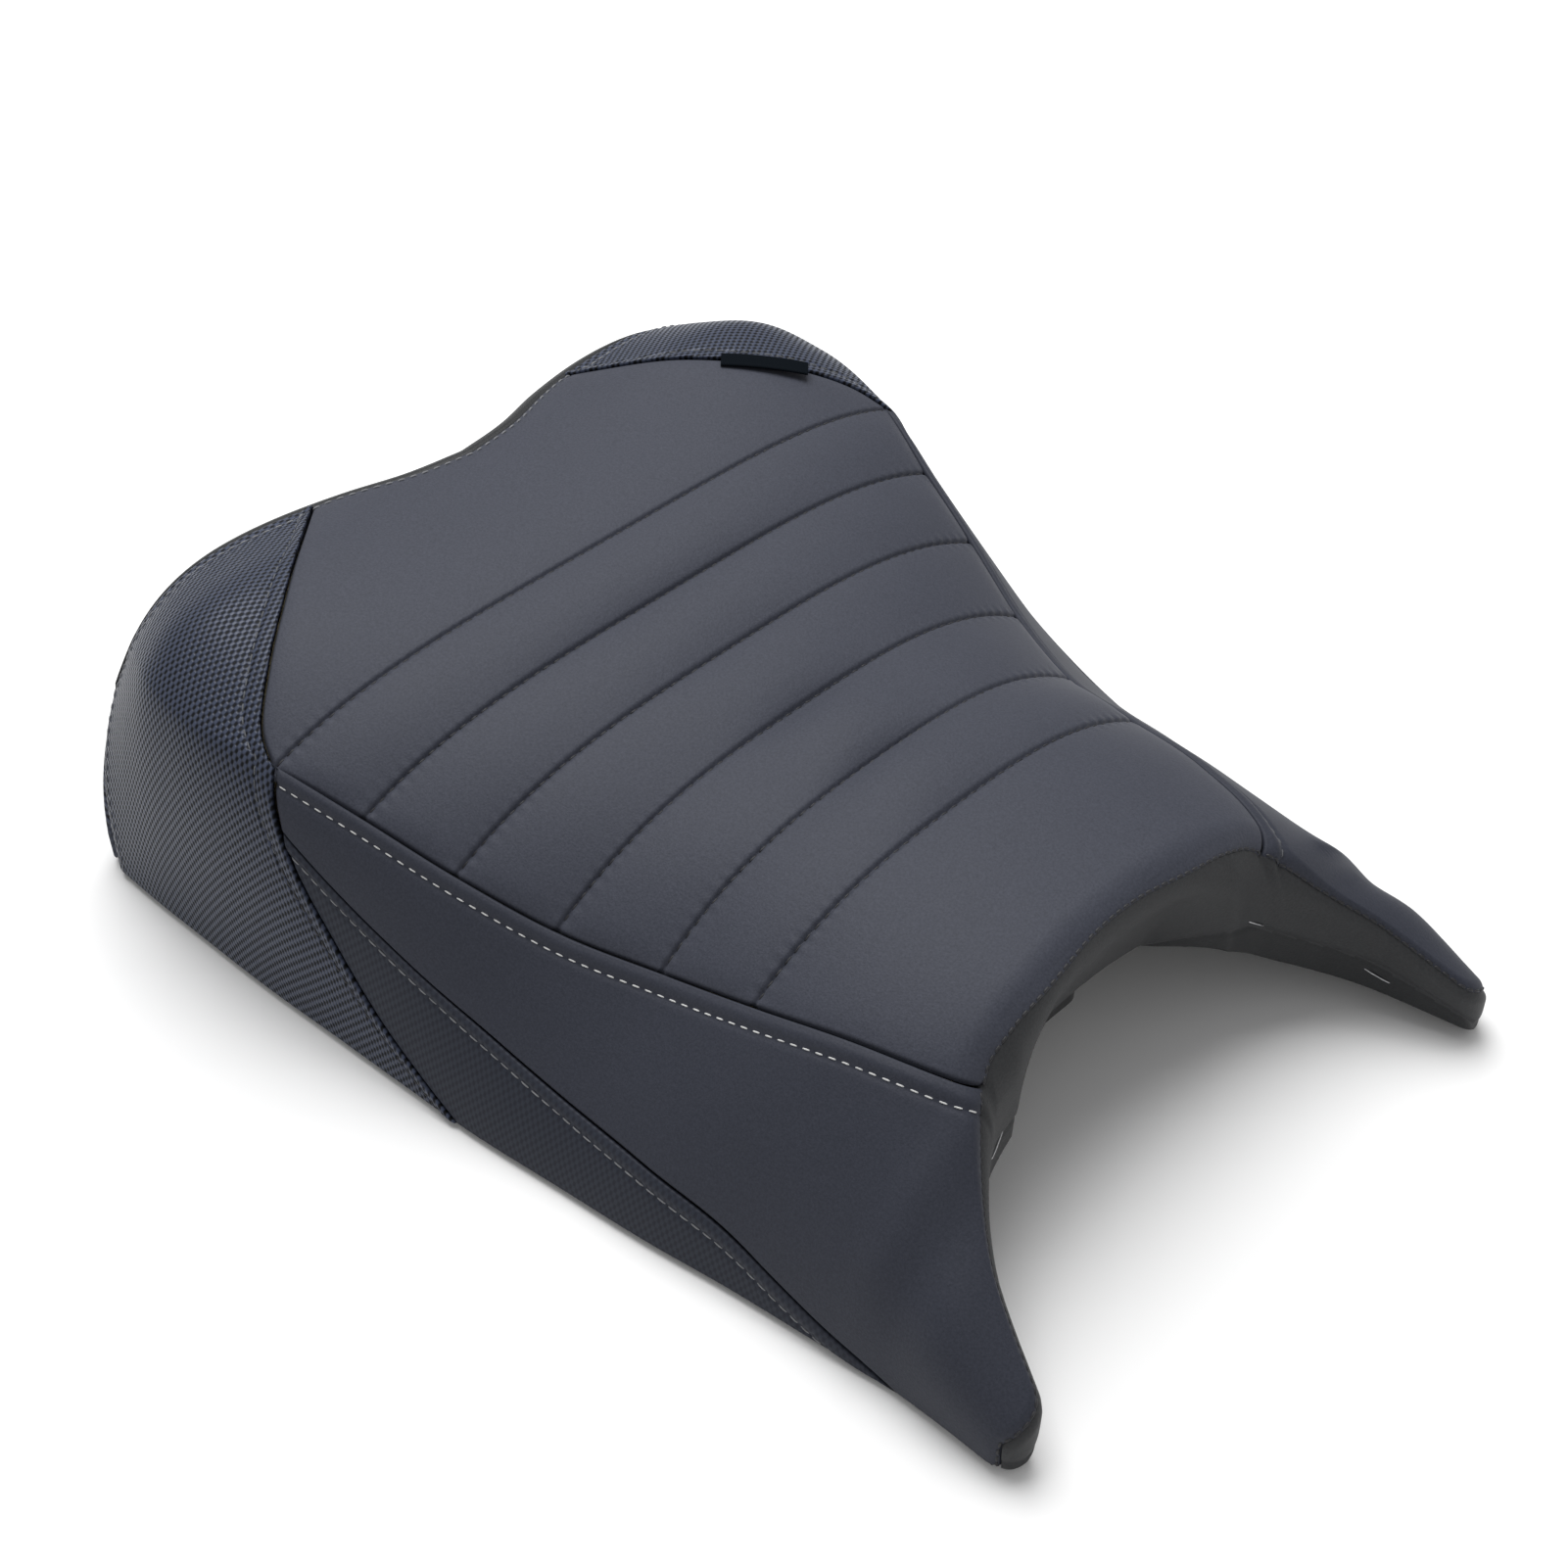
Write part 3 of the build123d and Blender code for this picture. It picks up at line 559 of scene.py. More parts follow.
# ---------------------------------------------------------------- quilted top panel
SPANS = 40                # rows between two quilt lines
ACROSS = 260              # points across the panel
TOP_ENDS = (-184.5, 142.0)
BACK_REACH, FRONT_REACH = 62, 55    # lengths over which the rows bend to the rear and notch edges
PUFF = 2.3                # rise of the rolls between the quilt lines
FLAT_PUFF = 1.6           # rise of the plain fields behind and ahead of them
SEWN_DEPTH = 1.0
SIM_ROWS, SIM_COLUMNS = 96, 64
SIM_FRAMES = 20
SIM_PRESSURE = 4.0
SMOOTH_COLUMNS = 41       # columns over which the foam evens out the settled cloth
SETTLED_SHARE = 0.3       # the rest of the rise is the planned roll


def quilt_stations():
    """Stations along the top panel, close together at the quilt lines and at both ends."""
    stops = [TOP_ENDS[0], *QUILT_LINES, TOP_ENDS[1]]
    counts = [SPANS * 2] + [SPANS] * 5 + [SPANS * 2]
    rows = [np.array([stops[0]])]
    for low, high, count in zip(stops, stops[1:], counts):
        rows.append(low + (high - low) * spread(count + 1, 0.8)[1:])
    return np.concatenate(rows)


def roll_radius(y):
    """Radius of the padded roll along the notch and horn edges, by half-width."""
    return np.interp(y, [0, 50, 72, 90, 125], [16, 18, 16, 8, 6])


def half_width(x):
    """Half-width of the top panel: its corner seam behind, its side seam ahead."""
    return np.where(x < CORNER_FRONT, corner_y(np.minimum(x, CORNER_FRONT)),
                    column["seam_y"](x) + 1.5 * np.exp(-np.abs(x - CORNER_FRONT) / 12))


def top_sheet():
    """Points and normals of the top panel before padding, rows along the quilt lines."""
    rows = quilt_stations()[:, None]
    s = (2 * spread(ACROSS, 0.55) - 1)[None, :]
    reach = np.abs(s)
    x = np.broadcast_to(rows, (rows.shape[0], s.shape[1])).copy()
    for _ in range(12):
        y = reach * half_width(x)
        back = (tail_x(y) + REAR_ROLL - rows[0]) * np.clip(1 - (rows - rows[0]) / BACK_REACH, 0, 1)
        front = (notch_x(y) - rows[-1]) * np.clip(1 - (rows[-1] - rows) / FRONT_REACH, 0, 1)
        x = 0.4 * x + 0.6 * (rows + back + front)
    y = reach * half_width(x)
    v = np.minimum(y / column["seam_y"](x), 1)
    z = skin(x, v)[1]
    points = np.stack([x, np.sign(s) * y, z], -1)
    normal = normals(points, np.array([0, 0, 1.0]))
    return points, normal


def stitched(x):
    """1 on a quilt line, falling to 0 within a stitch or so of it."""
    return sum(np.exp(-((x - line) / 0.85) ** 2) for line in QUILT_LINES)


def planned_lift(x, side_gap):
    """Height of the padding over the quilt lines: rolls between them, sewn down at each."""
    lift = np.zeros_like(x)
    for low, high in zip(QUILT_LINES, QUILT_LINES[1:]):
        t = np.clip((x - low) / (high - low), 0, 1)
        lift += np.where((x > low) & (x < high), PUFF * np.sin(np.pi * t) ** 0.7, 0)
    behind = np.clip(QUILT_LINES[0] - x, 0, None)
    ahead = np.clip(x - QUILT_LINES[-1], 0, None)
    lift += np.where(x <= QUILT_LINES[0], FLAT_PUFF * (1 - np.exp(-behind / 9)) * np.exp(-behind / 160), 0)
    lift += np.where(x >= QUILT_LINES[-1], FLAT_PUFF * (1 - np.exp(-ahead / 9)) * np.exp(-ahead / 90), 0)
    return lift * (1 - np.exp(-(side_gap / 4.5) ** 1.6))


def settled_lift(points, side_gap):
    """Inflate the top cloth between its stitched lines and read how far each point rises."""
    rows = np.linspace(0, points.shape[0] - 1, SIM_ROWS).astype(int)
    for line in QUILT_LINES:
        nearest = int(np.argmin(np.abs(quilt_stations() - line)))
        rows[int(np.argmin(np.abs(rows - nearest)))] = nearest
    columns = np.linspace(0, points.shape[1] - 1, SIM_COLUMNS).astype(int)
    coarse = points[np.ix_(rows, columns)]
    up = normals(coarse, np.array([0, 0, 1.0]))
    number = np.arange(coarse.shape[0] * coarse.shape[1]).reshape(coarse.shape[:2])
    mesh = bpy.data.meshes.new("settling_cloth")
    mesh.from_pydata((coarse.reshape(-1, 3) * MM).tolist(), [], grid_quads(number).tolist())
    cloth_object = add_object("settling_cloth", mesh)
    held = np.zeros(coarse.shape[:2], bool)
    held[[0, -1]] = True
    held[:, [0, -1]] = True
    for line in QUILT_LINES:
        held[int(np.argmin(np.abs(rows - np.argmin(np.abs(quilt_stations() - line)))))] = True
    group = cloth_object.vertex_groups.new(name="sewn")
    group.add(number[held].tolist(), 1.0, "REPLACE")
    cloth_settings = cloth_object.modifiers.new("cloth", "CLOTH").settings
    cloth_settings.vertex_group_mass = "sewn"
    cloth_settings.use_pressure = True
    cloth_settings.uniform_pressure_force = SIM_PRESSURE
    cloth_settings.bending_stiffness = 5.0
    cloth_settings.effector_weights.gravity = 0
    cloth_settings.quality = 6
    for step in range(1, SIM_FRAMES + 1):
        bpy.context.scene.frame_set(step)
    settled = cloth_object.evaluated_get(bpy.context.evaluated_depsgraph_get()).to_mesh()
    moved = np.empty(len(settled.vertices) * 3)
    settled.vertices.foreach_get("co", moved)
    bpy.context.scene.frame_set(1)
    bpy.data.objects.remove(cloth_object)
    bpy.data.meshes.remove(mesh)
    rise = np.sum((moved.reshape(coarse.shape) / MM - coarse) * up, axis=-1)
    rise *= np.sign(np.mean(rise))
    full = np.stack([np.interp(np.arange(points.shape[1]), columns, row) for row in rise])
    rise = np.stack([np.interp(np.arange(points.shape[0]), rows, full[:, j])
                     for j in range(points.shape[1])], -1)
    smoother = np.hanning(SMOOTH_COLUMNS) / np.sum(np.hanning(SMOOTH_COLUMNS))
    padded = np.pad(rise, ((0, 0), (SMOOTH_COLUMNS // 2, SMOOTH_COLUMNS // 2)), mode="edge")
    rise = np.stack([np.convolve(row, smoother, mode="valid") for row in padded])
    planned = planned_lift(points[..., 0], side_gap)
    bands = [-np.inf, *QUILT_LINES, np.inf]
    result = np.zeros_like(rise)
    for low, high in zip(bands, bands[1:]):
        here = (points[..., 0] >= low) & (points[..., 0] < high)
        scale = np.percentile(planned[here], 90) / max(np.percentile(rise[here], 90), 1e-6)
        result[here] = SETTLED_SHARE * rise[here] * scale + (1 - SETTLED_SHARE) * planned[here]
    return result


top_points, top_normal = top_sheet()
gap_right, _ = from_border(top_points, 1, 0)
gap_left, _ = from_border(top_points, 1, 1)
side_gap = np.minimum(gap_right, gap_left)
lift = settled_lift(top_points, side_gap)
# The thread pulls a narrow channel down, and gathers the cloth a little at each stitch.
channel = stitched(top_points[..., 0])
gather = 0.2 * np.sin(2 * np.pi * top_points[..., 1] / STITCH_PITCH)
gather = gather * sum(np.exp(-((top_points[..., 0] - line) / 3.0) ** 2) for line in QUILT_LINES)
lift = lift - SEWN_DEPTH * channel + gather
top_points = top_points + top_normal * lift[..., None]
top_normal = normals(top_points, np.array([0, 0, 1.0]))
edge_y = np.abs(top_points[-1:, :, 1])
top_sewn = stitch_dips(top_points, top_normal, [(0, 0, REAR_STITCH, 0.6, 1.2)])
top_sewn = finish_edges(top_sewn, top_normal, [(0, 0, "seam", (1.6, 1.0, 0.3)),
                                               (0, 1, "round", roll_radius(edge_y)),
                                               (1, 0, "seam", (1.7, 0.9, 0)), (1, 1, "seam", (1.7, 0.9, 0))])
top_piece = sewn_object("top_panel_quilted", [(top_sewn, top_normal, top_points)], vinyl)
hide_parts("top_panel")

quilt_rows = []
for line in QUILT_LINES:
    k = int(np.argmin(np.abs(quilt_stations() - line)))
    keep = (np.abs(top_points[k, :, 1]) < np.abs(top_points[k, :, 1]).max() - 1)
    quilt_rows.append((top_sewn[k][keep], top_normal[k][keep]))
stitches("quilt_stitching", quilt_rows, dark_thread, length=3.6, radius=0.42, sink=0.1)
stitches("rear_topstitch", [row_at(top_sewn, top_normal, 0, 0, REAR_STITCH)], pale_thread)
stitches("notch_seam_stitching", [row_at(top_sewn, top_normal, 0, 1, 0.8)], dark_thread, length=3.3,
         pitch=3.6, radius=0.55, sink=0.25)

# ---------------------------------------------------------------- side, trim and corner panels
ALONG = 320
DOWN = 64


def side_sheet(flip):
    """Points, normals and cloth of a side panel, from its top seam down to the trim or hem."""
    u = spread(ALONG, 0.5)[:, None]
    w = spread(DOWN, 0.7)[None, :]
    x = -100 + 300 * u + 0 * w
    v = 1 + 0.5 * w + 0 * u
    for _ in range(30):
        start, end = x_corner(v), x_notch(v)
        x = 0.5 * x + 0.5 * (start + (end - start) * u)
        v = 0.5 * v + 0.5 * (1 + (np.clip(v_trim(x), 1.02, 2) - 1) * w)
    points = on_skin(x, v, flip)
    return points, normals(points, np.array([0, flip, 0.6])), cloth_on_skin(x, v)


def trim_sheet(flip):
    """Points, normals and cloth of a lower trim, which runs out to a point at the hem."""
    u = spread(ALONG, 0.5)[:, None]
    w = spread(DOWN // 2, 0.6)[None, :]
    x = -90 + 250 * u + 0 * w
    v = 1.7 + 0 * x
    for _ in range(30):
        start = x_corner(v)
        x = 0.5 * x + 0.5 * (start + (TRIM_FRONT - 0.5 - start) * u)
        low = v_hem(x)
        high = np.minimum(v_trim(x), low)
        v = 0.5 * v + 0.5 * (high + (low - high) * w)
    points = on_skin(x, v, flip)
    return points, normals(points, np.array([0, flip, 0.3])), cloth_on_skin(x, v)


def corner_sheet(flip):
    """Points, normals and cloth of a rear corner panel, from the rear wall to its front seam."""
    u = spread(ALONG // 2, 0.6)[:, None]
    w = spread(ALONG // 2, 0.5)[None, :]
    v = v_corner_tip + (v_hem(-150.0) - v_corner_tip) * w + 0 * u
    start, end = x_behind(v), x_corner(v)
    start = start + rear_roll(skin(start, v)[0])
    x = start + (np.maximum(end, start) - start) * u
    v = np.minimum(v, v_hem(x))
    points = on_skin(x, v, flip)
    return points, normals(points, np.array([-0.3, flip, 0.5])), cloth_on_skin(x, v)


def rear_roll(y):
    """How far the rear band rolls over onto the top, by half-width."""
    return np.maximum(REAR_ROLL * np.clip((REAR_BAND_HALF - y) / 12, 0, 1), 0.02)


def rolled_wall(x, y, low, radius, rows=22, turns=10):
    """Rear wall from low upwards, rolled over its top edge to end radius in from its face."""
    tangent = np.stack([np.gradient(x), np.gradient(y)], -1)
    tangent /= np.linalg.norm(tangent, axis=-1, keepdims=True)
    inward = np.stack([np.abs(tangent[:, 1]), -tangent[:, 0] * np.sign(tangent[:, 1])], -1)
    foot = skin_height(x, np.abs(y)) - ROLL_DROP * radius
    wall = low[:, None] + (foot - low)[:, None] * spread(rows, 0.5)[None, :]
    plan = [np.repeat(np.stack([x, y], -1)[:, None], rows, axis=1)]
    heights = [wall]
    for angle in np.linspace(0, np.pi / 2, turns)[1:]:
        spot = np.stack([x, y], -1) + inward * (radius * (1 - np.cos(angle)))[:, None]
        plan.append(spot[:, None])
        level = skin_height(spot[:, 0], np.abs(spot[:, 1])) - ROLL_DROP * radius * (1 - np.sin(angle))
        heights.append(level[:, None])
    return np.concatenate([np.concatenate(plan, axis=1), np.concatenate(heights, axis=1)[..., None]], -1)


def joined_to(points, plan_y, border_y, border, blend):
    """Move the upper border of a wall onto the border of the panels above it, matched by plan y."""
    order = np.argsort(border_y)
    target = np.stack([np.interp(plan_y, border_y[order], border[order, i]) for i in range(3)], -1)
    share = np.clip(1 - from_border(points, 1, 1)[0] / blend, 0, 1)
    share = share * share * (3 - 2 * share)
    return points + (target - points[:, -1])[:, None] * share[..., None]


def wall_sheet(x, y, low, high, flip, rake=0.0, rows=24):
    """Wall that stands on a plan path, from low to high, leaning back by rake per height."""
    w = spread(rows, 0.5)[None, :]
    z = low[:, None] + (high - low)[:, None] * w
    x = x[:, None] - np.asarray(rake).reshape(-1, 1) * (NOTCH_TOP - z)
    return np.stack([x, flip * y[:, None] + 0 * z, z], -1)


hands = (("left", 1), ("right", -1))
notch_border, notch_border_y = [top_sewn[-1]], [top_points[-1, :, 1]]
for hand, flip in hands:
    points, normal, cloth = side_sheet(flip)
    end_roll = roll_radius(np.abs(points[-1:, :, 1]))
    shaped = stitch_dips(points, normal, [(1, 0, TOPSTITCH, 0.7, 1.2)])
    fold = from_border(points, 1, 0)[0]
    shaped += normal * (0.9 * np.exp(-((fold - 3.8) / 2.6) ** 2))[..., None]
    shaped = finish_edges(shaped, normal, [(1, 0, "round", 1.3), (1, 1, "seam", (1.5, 1.0, 0)),
                                           (0, 0, "seam", (2.0, 1.2, 0)), (0, 1, "round", end_roll)])
    notch_border.append(shaped[-1])
    notch_border_y.append(points[-1, :, 1])
    piece = sewn_object(f"side_panel_{hand}_cover", [(shaped, normal, cloth)], shaded_side_vinyl)
    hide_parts(f"side_panel_{hand}")
    stitches(f"horn_seam_stitching_{hand}", [row_at(shaped, normal, 0, 1, 0.8)], dark_thread, length=3.3,
             pitch=3.6, radius=0.55, sink=0.25)
    # Painted shade: the left, far side's topstitch is the white row darkened into the dim thread.
    stitches(f"side_topstitch_{hand}", [row_at(shaped, normal, 1, 0, TOPSTITCH)],
             white_thread if hand == "right" else grey_and_shaded_thread, length=2.9, radius=0.3)

    points, normal, cloth = trim_sheet(flip)
    shaped = stitch_dips(points, normal, [(1, 0, TOPSTITCH, 0.5, 1.2)])
    fold = from_border(points, 1, 0)[0]
    shaped += normal * (0.7 * np.exp(-((fold - 3.8) / 2.6) ** 2))[..., None]
    shaped = finish_edges(shaped, normal, [(1, 0, "round", 1.2), (1, 1, "round", 2.0),
                                           (0, 0, "seam", (1.8, 1.2, 0))])
    piece = sewn_object(f"lower_trim_{hand}_cover", [(shaped, normal, cloth)], fine_weave)
    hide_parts(f"lower_trim_{hand}")
    stitches(f"trim_topstitch_{hand}", [row_at(shaped, normal, 1, 0, TOPSTITCH)], grey_thread,
             length=3.8, radius=0.32)

    points, normal, cloth = corner_sheet(flip)
    lap = from_border(points, 0, 1)[0]
    rear_edge = np.where(np.abs(points[:1, :, 1]) > REAR_BAND_HALF - 6, 6.0, 0.05)
    shaped = stitch_dips(points, normal, [(0, 1, TOPSTITCH, 0.5, 1.2), (0, 0, REAR_STITCH, 0.5, 1.2)])
    shaped += normal * (LAP * np.exp(-(lap / 7) ** 2))[..., None]
    shaped = finish_edges(shaped, normal, [(0, 1, "round", 1.3), (0, 0, "round", rear_edge),
                                           (1, 1, "round", 2.0)])
    wrap_y = REAR_BAND_HALF + (WRAP_HALF - REAR_BAND_HALF) * np.linspace(0, 1, 24)
    wrap_x = tail_x(wrap_y)
    wrap_top = np.maximum(skin_height(wrap_x, wrap_y), HEM_Z + 0.5)
    wall = wall_sheet(wrap_x, wrap_y, np.full(24, HEM_Z), wrap_top, flip)
    wall_normal = normals(wall, np.array([-1, flip * 0.4, 0]))
    wall_shaped = finish_edges(wall, wall_normal, [(1, 1, "round", 6.0), (1, 0, "round", 2.0),
                                                   (0, 0, "seam", (1.2, 1.4, 0))])
    wall_cloth = np.stack([np.abs(wall[..., 1]), 200 - wall[..., 2], 0 * wall[..., 2]], -1)
    sheets = [(shaped, normal, cloth), (wall_shaped, wall_normal, wall_cloth)]
    piece = sewn_object(f"corner_panel_{hand}_cover", sheets, carbon)
    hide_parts(f"corner_panel_{hand}")
    line, up = row_at(shaped, normal, 0, 1, TOPSTITCH)
    # Below that height the row uses the dark thread: painted shade on the lower corner.
    upper = line[:, 2] > SHADED_STITCH_BELOW
    stitches(f"corner_topstitch_{hand}", [(line[upper], up[upper])], grey_and_shaded_thread, length=3.4, radius=0.33)
    stitches(f"corner_lower_stitch_{hand}", [(line[~upper], up[~upper])], dark_thread, length=3.4)
    stitches(f"corner_rear_stitch_{hand}", [row_at(shaped, normal, 0, 0, REAR_STITCH + 3)], pale_thread)

    run_x = np.linspace(-196, 205, 160)
    outer = skin(run_x, v_hem(run_x))[0]
    w = spread(10, 0.3)[None, :]
    reach = np.minimum(HEM_INNER, np.maximum(outer - HEM_STOP, 2.0))
    y = outer[:, None] - reach[:, None] * w
    hem = np.stack([run_x[:, None] + 0 * w, flip * y, np.full_like(y, HEM_Z)], -1)
    hem_normal = np.zeros_like(hem)
    hem_normal[..., 2] = -1.0
    hem_shaped = finish_edges(hem, hem_normal, [(1, 0, "round", 2.0)])
    sewn_object(f"cover_hem_{hand}", [(hem_shaped, hem_normal, hem)], dark_vinyl_and_fold_shade, thick=1.0)

# ---------------------------------------------------------------- front and rear bands
HALF_ARC = 120            # columns of the front band from its middle to a horn's tip
FRONT_ARCH, REAR_ARCH = 48, 36    # height of the opening under each band
FOLD_HEIGHTS = ([30, 50, 67, 102, 120], [1, 8, 15, 14, 4])    # half-width, lower fold of the front band
FOLD_END = 118            # half-width out to which that fold is painted darker, as shade

arc = np.concatenate([-spread(HALF_ARC, 0.0)[::-1] * PATH_END, spread(HALF_ARC, 0.0)[1:] * PATH_END])
front_y = path_y(np.abs(arc))
front_x = path_x(np.abs(arc))
front_top = np.maximum(skin_height(front_x, front_y), 4.0)
front_low = np.minimum(np.maximum(arch_share(front_y) * FRONT_ARCH, HEM_Z), front_top - 2)
share = np.clip((RAKE_END - front_y) / (RAKE_END - RAKE_START), 0, 1)
front = wall_sheet(front_x, front_y, front_low, front_top, 1, rake=share * NOTCH_RAKE, rows=60)
front[..., 1] *= np.sign(arc)[:, None]
front_normal = normals(front, np.array([1, 0, 0]))
band_roll = np.minimum(roll_radius(front_y), 0.7 * (front_top - front_low))[:, None]
fold_height = np.interp(front_y, *FOLD_HEIGHTS)
above_low = front[..., 2] - front_low[:, None] - fold_height[:, None]
front_shaped = front - front_normal * (0.8 * np.exp(-(above_low / 1.6) ** 2)
                                       + 1.0 / (1 + np.exp(above_low / 2)))[..., None]
front_shaped = finish_edges(front_shaped, front_normal, [(1, 1, "round", band_roll), (1, 0, "round", 2.0)])
front_shaped = joined_to(front_shaped, front[:, -1, 1], np.concatenate(notch_border_y),
                         np.concatenate(notch_border), 18.0)
piece = sewn_object("front_band_cover", [(front_shaped, front_normal, front)], band_vinyl)
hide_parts("front_band")
# Painted shade: faces below the front band's lower fold, out to FOLD_END, take the darkest vinyl.
piece.data.materials.append(dark_vinyl_and_fold_shade)
fold_edge = front_low + fold_height
for face in piece.data.polygons:
    middle = face.center / MM
    below = middle.z < np.interp(abs(middle.y), front_y[HALF_ARC - 1:], fold_edge[HALF_ARC - 1:])
    face.material_index = int(below and abs(middle.y) < FOLD_END)


def notch_staples():
    """Wire staples that hold the lower fold of the front band, two in each horn's inner face."""
    grids = []
    for flip in (1, -1):
        for (y0, z0), (y1, z1) in BAND_STAPLES:
            ends = []
            for y, z in ((y0, z0), (y1, z1)):
                ends.append(np.array([float(notch_x(y)), flip * y, z]))
            middle = (ends[0] + ends[1]) / 2
            near = np.linalg.norm(front_shaped - middle, axis=-1)
            i, j = np.unravel_index(np.argmin(near), near.shape)
            out = front_normal[i, j]
            shift = np.dot(front_shaped[i, j] - middle, out) + 0.25
            grids.append((np.linspace(ends[0], ends[1], 12) + out * shift, np.tile(out, (12, 1))))
    stitches("band_staples", grids, plated_steel, length=STAPLE_SPAN, pitch=STAPLE_SPAN, radius=0.3)


notch_staples()

rear_y = np.linspace(-REAR_BAND_HALF, REAR_BAND_HALF, 220)
rear_plan_x = tail_x(np.abs(rear_y))
rear_low = np.maximum(arch_share(np.abs(rear_y)) * REAR_ARCH, HEM_Z)
rear = rolled_wall(rear_plan_x, rear_y, rear_low, rear_roll(np.abs(rear_y)))
rear_normal = normals(rear, np.array([-1, 0, 0.5]))
rear_shaped = finish_edges(rear, rear_normal, [(1, 1, "seam", (1.4, 0.8, 0)), (1, 0, "round", 2.5)])
piece = sewn_object("rear_band_cover", [(rear_shaped, rear_normal, rear)], dark_vinyl_and_fold_shade)
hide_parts("rear_band")

# ---------------------------------------------------------------- hidden padding
def inner_padding(name, inset, low, material):
    """Padding under the cover: the seat's own form, smaller by inset and closed below."""
    x = np.linspace(-206 + inset * 0.2, 140, 90)[:, None]
    v = np.linspace(0, 1.9, 60)[None, :]
    y, z = skin(x + 0 * v, v + 0 * x)
    half = np.stack([x + 0 * v, y, z], -1)
    half = half - normals(half, np.array([0, 0.3, 1])) * inset
    half[..., 0] = np.maximum(half[..., 0], tail_x(np.abs(half[..., 1])) + inset)
    half[..., 0] = np.minimum(half[..., 0], notch_x(np.abs(half[..., 1])) - inset - 8)
    half[..., 1] = np.maximum(half[..., 1], 0)
    half[:, 0, 1] = 0
    floor = np.maximum(arch_share(half[..., 1]) * arch_top(half[..., 0]) + low, low + 3.4)
    half[..., 2] = np.maximum(half[..., 2], floor + 1)
    whole = np.concatenate([(half * [1, -1, 1])[:, :0:-1], half], axis=1)
    base = whole.copy()
    base[..., 2] = np.concatenate([floor[:, :0:-1], floor], axis=1)
    number = np.arange(whole[..., 0].size).reshape(whole.shape[:2])
    quads = grid_quads(number)
    verts = np.concatenate([whole.reshape(-1, 3), base.reshape(-1, 3)])
    faces = np.concatenate([quads, quads[:, ::-1] + number.size, rim_quads(number)])
    return make_object(name, verts, faces, material)


foam = inner_padding("foam_core", 9.5, 3.6, foam_skin)
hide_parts("foam_cushion", "quilt_wadding")

# ---------------------------------------------------------------- blank folded label
LABEL_ALONG = (0.70, 0.69, -0.12)
LABEL_OUT = (0.69, -0.69, 0.0)
LABEL_HALF_LENGTH = 17.4
LABEL_HALF_DEPTH = 4.0
LABEL_HALF_THICK = 0.62
LABEL_GAP = 0.2           # half the gap between its two layers
LABEL_SAG = 0.9           # how far its ends hang below its middle
LABEL_STEPS = 30


def folded_label():
    """Woven strip folded over and caught in the seam by its two ends."""
    low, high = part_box("side_label")
    middle = (np.array(low) + np.array(high)) / 2 / MM
    along = np.array(LABEL_ALONG)
    along /= np.linalg.norm(along)
    out = np.array(LABEL_OUT)
    out -= along * np.dot(out, along)
    out /= np.linalg.norm(out)
    up = np.cross(along, out)
    up *= np.sign(up[2])
    middle[2] = float(skin_height(middle[0], abs(middle[1]))) + LABEL_RISE
    deep, thick, gap = LABEL_HALF_DEPTH, LABEL_HALF_THICK, LABEL_GAP
    fold = [(deep + 0.6 * np.cos(t) - 0.6, thick * np.sin(t)) for t in np.linspace(-np.pi / 2, np.pi / 2, 9)]
    inside = [(deep - 1.1 + 0.25 * np.cos(t), gap * np.sin(t)) for t in np.linspace(np.pi / 2, -np.pi / 2, 5)]
    loop = [(-deep, -thick), *fold, (-deep, thick), (-deep, gap), *inside, (-deep, -gap)]
    grid, flat = [], []
    for s in np.linspace(-1, 1, LABEL_STEPS):
        here = middle + along * (LABEL_HALF_LENGTH * s)
        grid.append([here + out * (p * (1 - 0.02 * s * s)) + up * (q - LABEL_SAG * s * s) for p, q in loop])
        flat.append([(LABEL_HALF_LENGTH * s, p, 0) for p, q in loop])
    n, steps = len(loop), LABEL_STEPS
    faces = []
    for i in range(steps - 1):
        for j in range(n):
            k = (j + 1) % n
            faces.append((i * n + j, i * n + k, (i + 1) * n + k, (i + 1) * n + j))
    faces.append(tuple(range(n - 1, -1, -1)))
    faces.append(tuple((steps - 1) * n + j for j in range(n)))
    mesh = bpy.data.meshes.new("blank_label")
    mesh.from_pydata((np.array(grid).reshape(-1, 3) * MM).tolist(), [], faces)
    set_cloth(mesh, flat)
    mesh.materials.append(label_cloth)
    piece = add_object("blank_label", mesh)
    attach(piece, "root")
    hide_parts("side_label")


folded_label()

# ---------------------------------------------------------------- finishes of the CAD parts that stay
finishes = {"seat_pan": pan_plastic, "cover_staples": plated_steel, "front_tongue": black_steel,
            "rear_tab": black_steel, "tongue_rivets": plated_steel, "tab_rivets": plated_steel}
for place in ("front", "middle", "rear"):
    for hand, _ in hands:
        finishes[f"buffer_{place}_{hand}"] = buffer_rubber
for node, finish in finishes.items():
    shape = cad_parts[node]
    for spot in shape.material_slots:
        spot.material = finish
    if not shape.material_slots:
        shape.data.materials.append(finish)

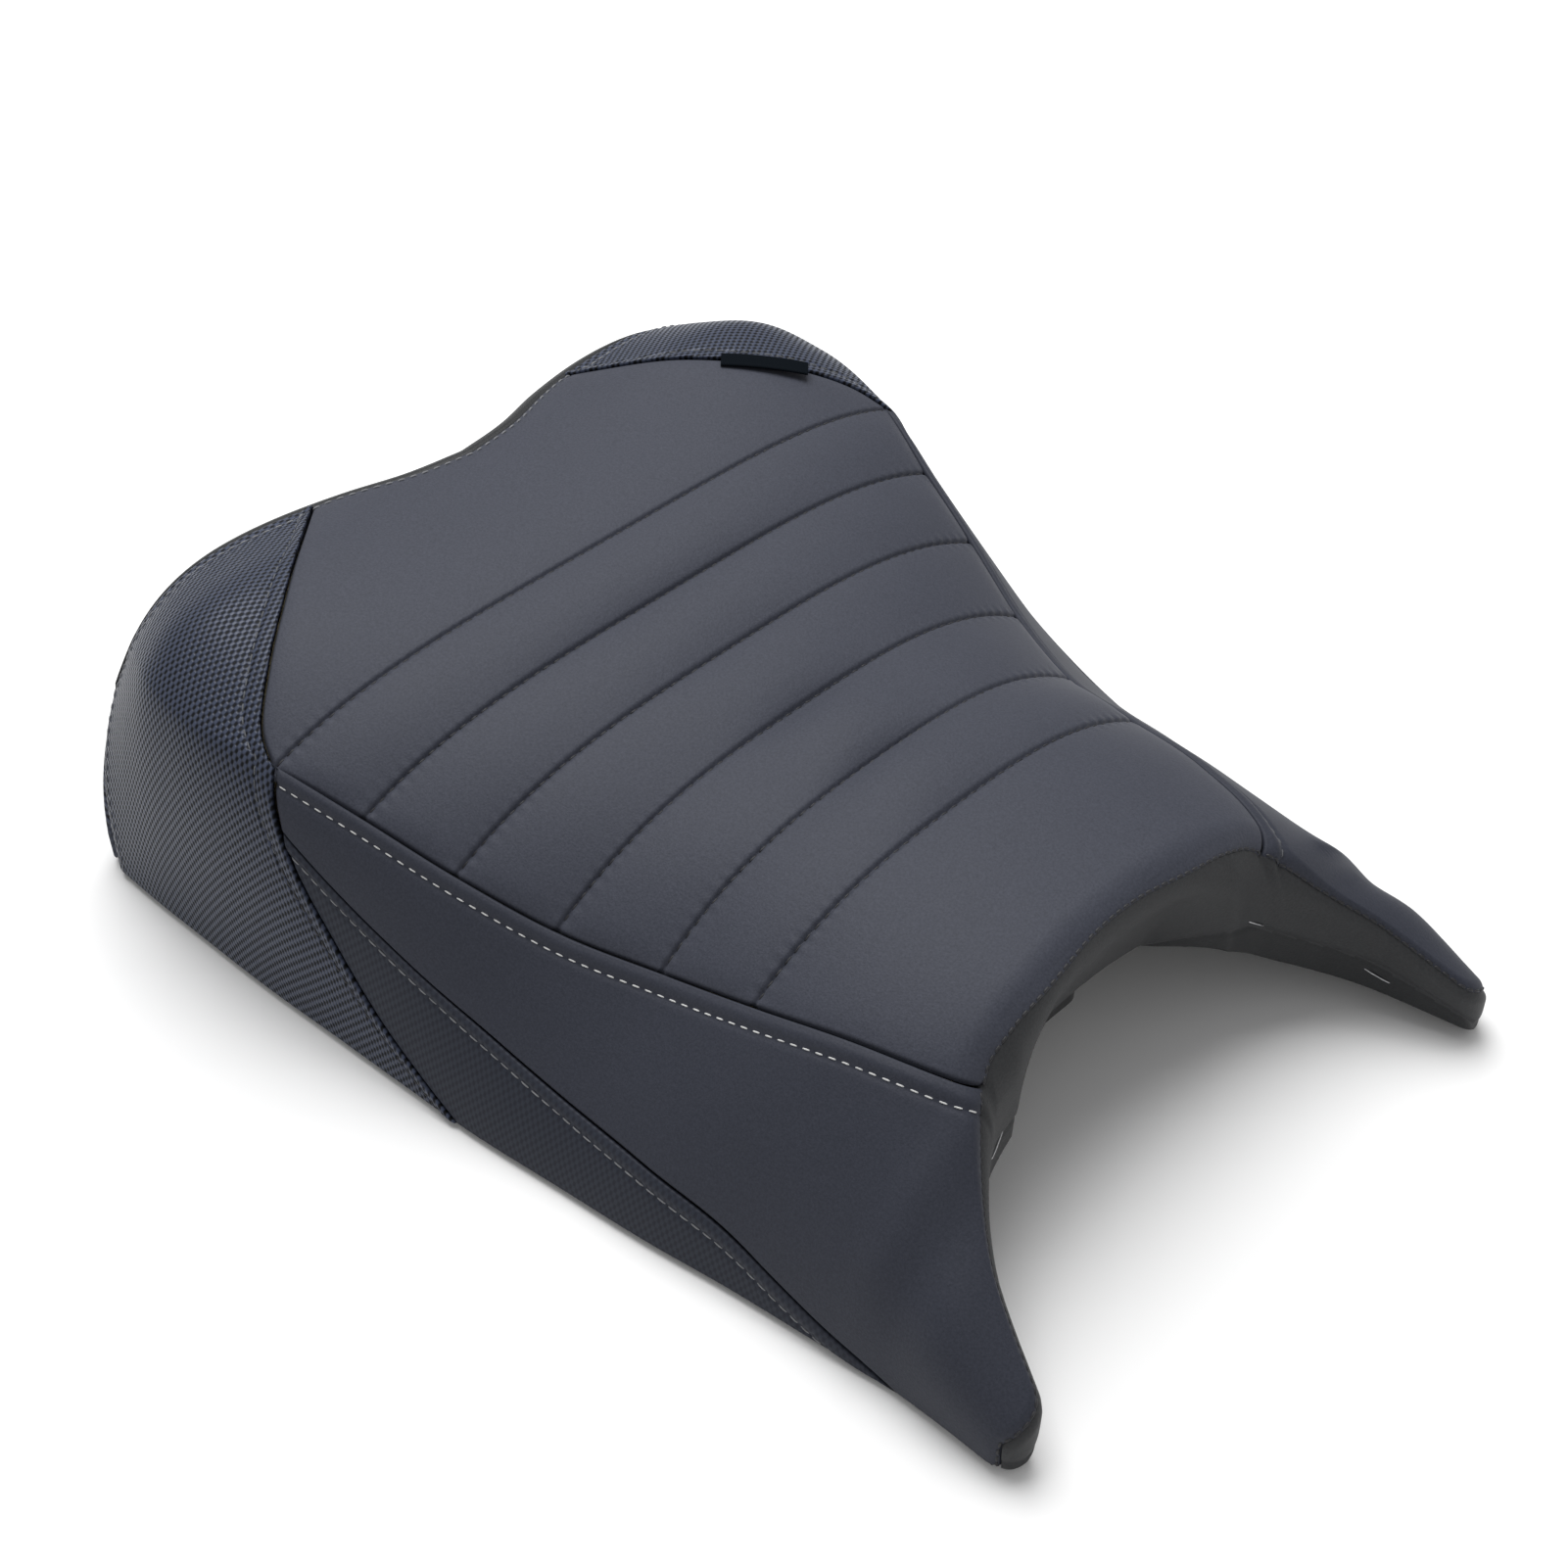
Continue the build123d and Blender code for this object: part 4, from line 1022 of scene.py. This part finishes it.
# ---------------------------------------------------------------- floor, light and camera
FLOOR_Z = -0.0006
FLOOR_REACH = 6.0
WORLD_STRENGTH = 0.42
floor_corners = [(a * FLOOR_REACH, b * FLOOR_REACH, FLOOR_Z) for a, b in ((-1, -1), (1, -1), (1, 1), (-1, 1))]
floor_mesh = bpy.data.meshes.new("studio_floor")
floor_mesh.from_pydata(floor_corners, [], [(0, 1, 2, 3)])
floor_object = add_object("studio_floor", floor_mesh)
floor_material = new_material("studio_floor", (0.9, 0.9, 0.9), 0.9, 0.1)[0]
floor_mesh.materials.append(floor_material)

world = bpy.data.worlds.new("studio")
world.use_nodes = True
world.node_tree.nodes["Background"].inputs["Color"].default_value = (1, 1, 1, 1)
world.node_tree.nodes["Background"].inputs["Strength"].default_value = WORLD_STRENGTH
bpy.context.scene.world = world


def area_light(name, place, target, size, power):
    """Rectangular lamp aimed at a target."""
    data = bpy.data.lights.new(name, "AREA")
    data.shape = "RECTANGLE"
    data.size, data.size_y = size
    data.energy = power
    lamp = add_object(name, data)
    lamp.location = place
    aim = Vector(target) - Vector(place)
    lamp.rotation_euler = aim.to_track_quat("-Z", "Y").to_euler()


area_light("overhead", (-0.5, 0.25, 1.5), (0, 0, 0.05), (1.2, 1.2), 30)
area_light("fill", (1.2, -1.2, 1.2), (0, 0, 0.05), (1.0, 1.0), 1.5)
bpy.context.scene.view_settings.view_transform = "Standard"

FOCAL_PIXELS, IMAGE_PIXELS, SENSOR = 2400.0, 1601.0, 36.0
CAMERA_PLACE = (0.42693, -0.44061, 0.63681)
camera_data = bpy.data.cameras.new("camera")
camera_data.sensor_width = SENSOR
camera_data.lens = SENSOR * FOCAL_PIXELS / IMAGE_PIXELS
camera = add_object("camera", camera_data)
right = Vector((0.7077, 0.7065, 0.0)).normalized()
forward = Vector((-0.5155, 0.5164, -0.6838)).normalized()
upward = right.cross(forward).normalized()
turn = Matrix((right, upward, -forward)).transposed().to_4x4()
camera.matrix_world = Matrix.Translation(Vector(CAMERA_PLACE)) @ turn
bpy.context.scene.camera = camera
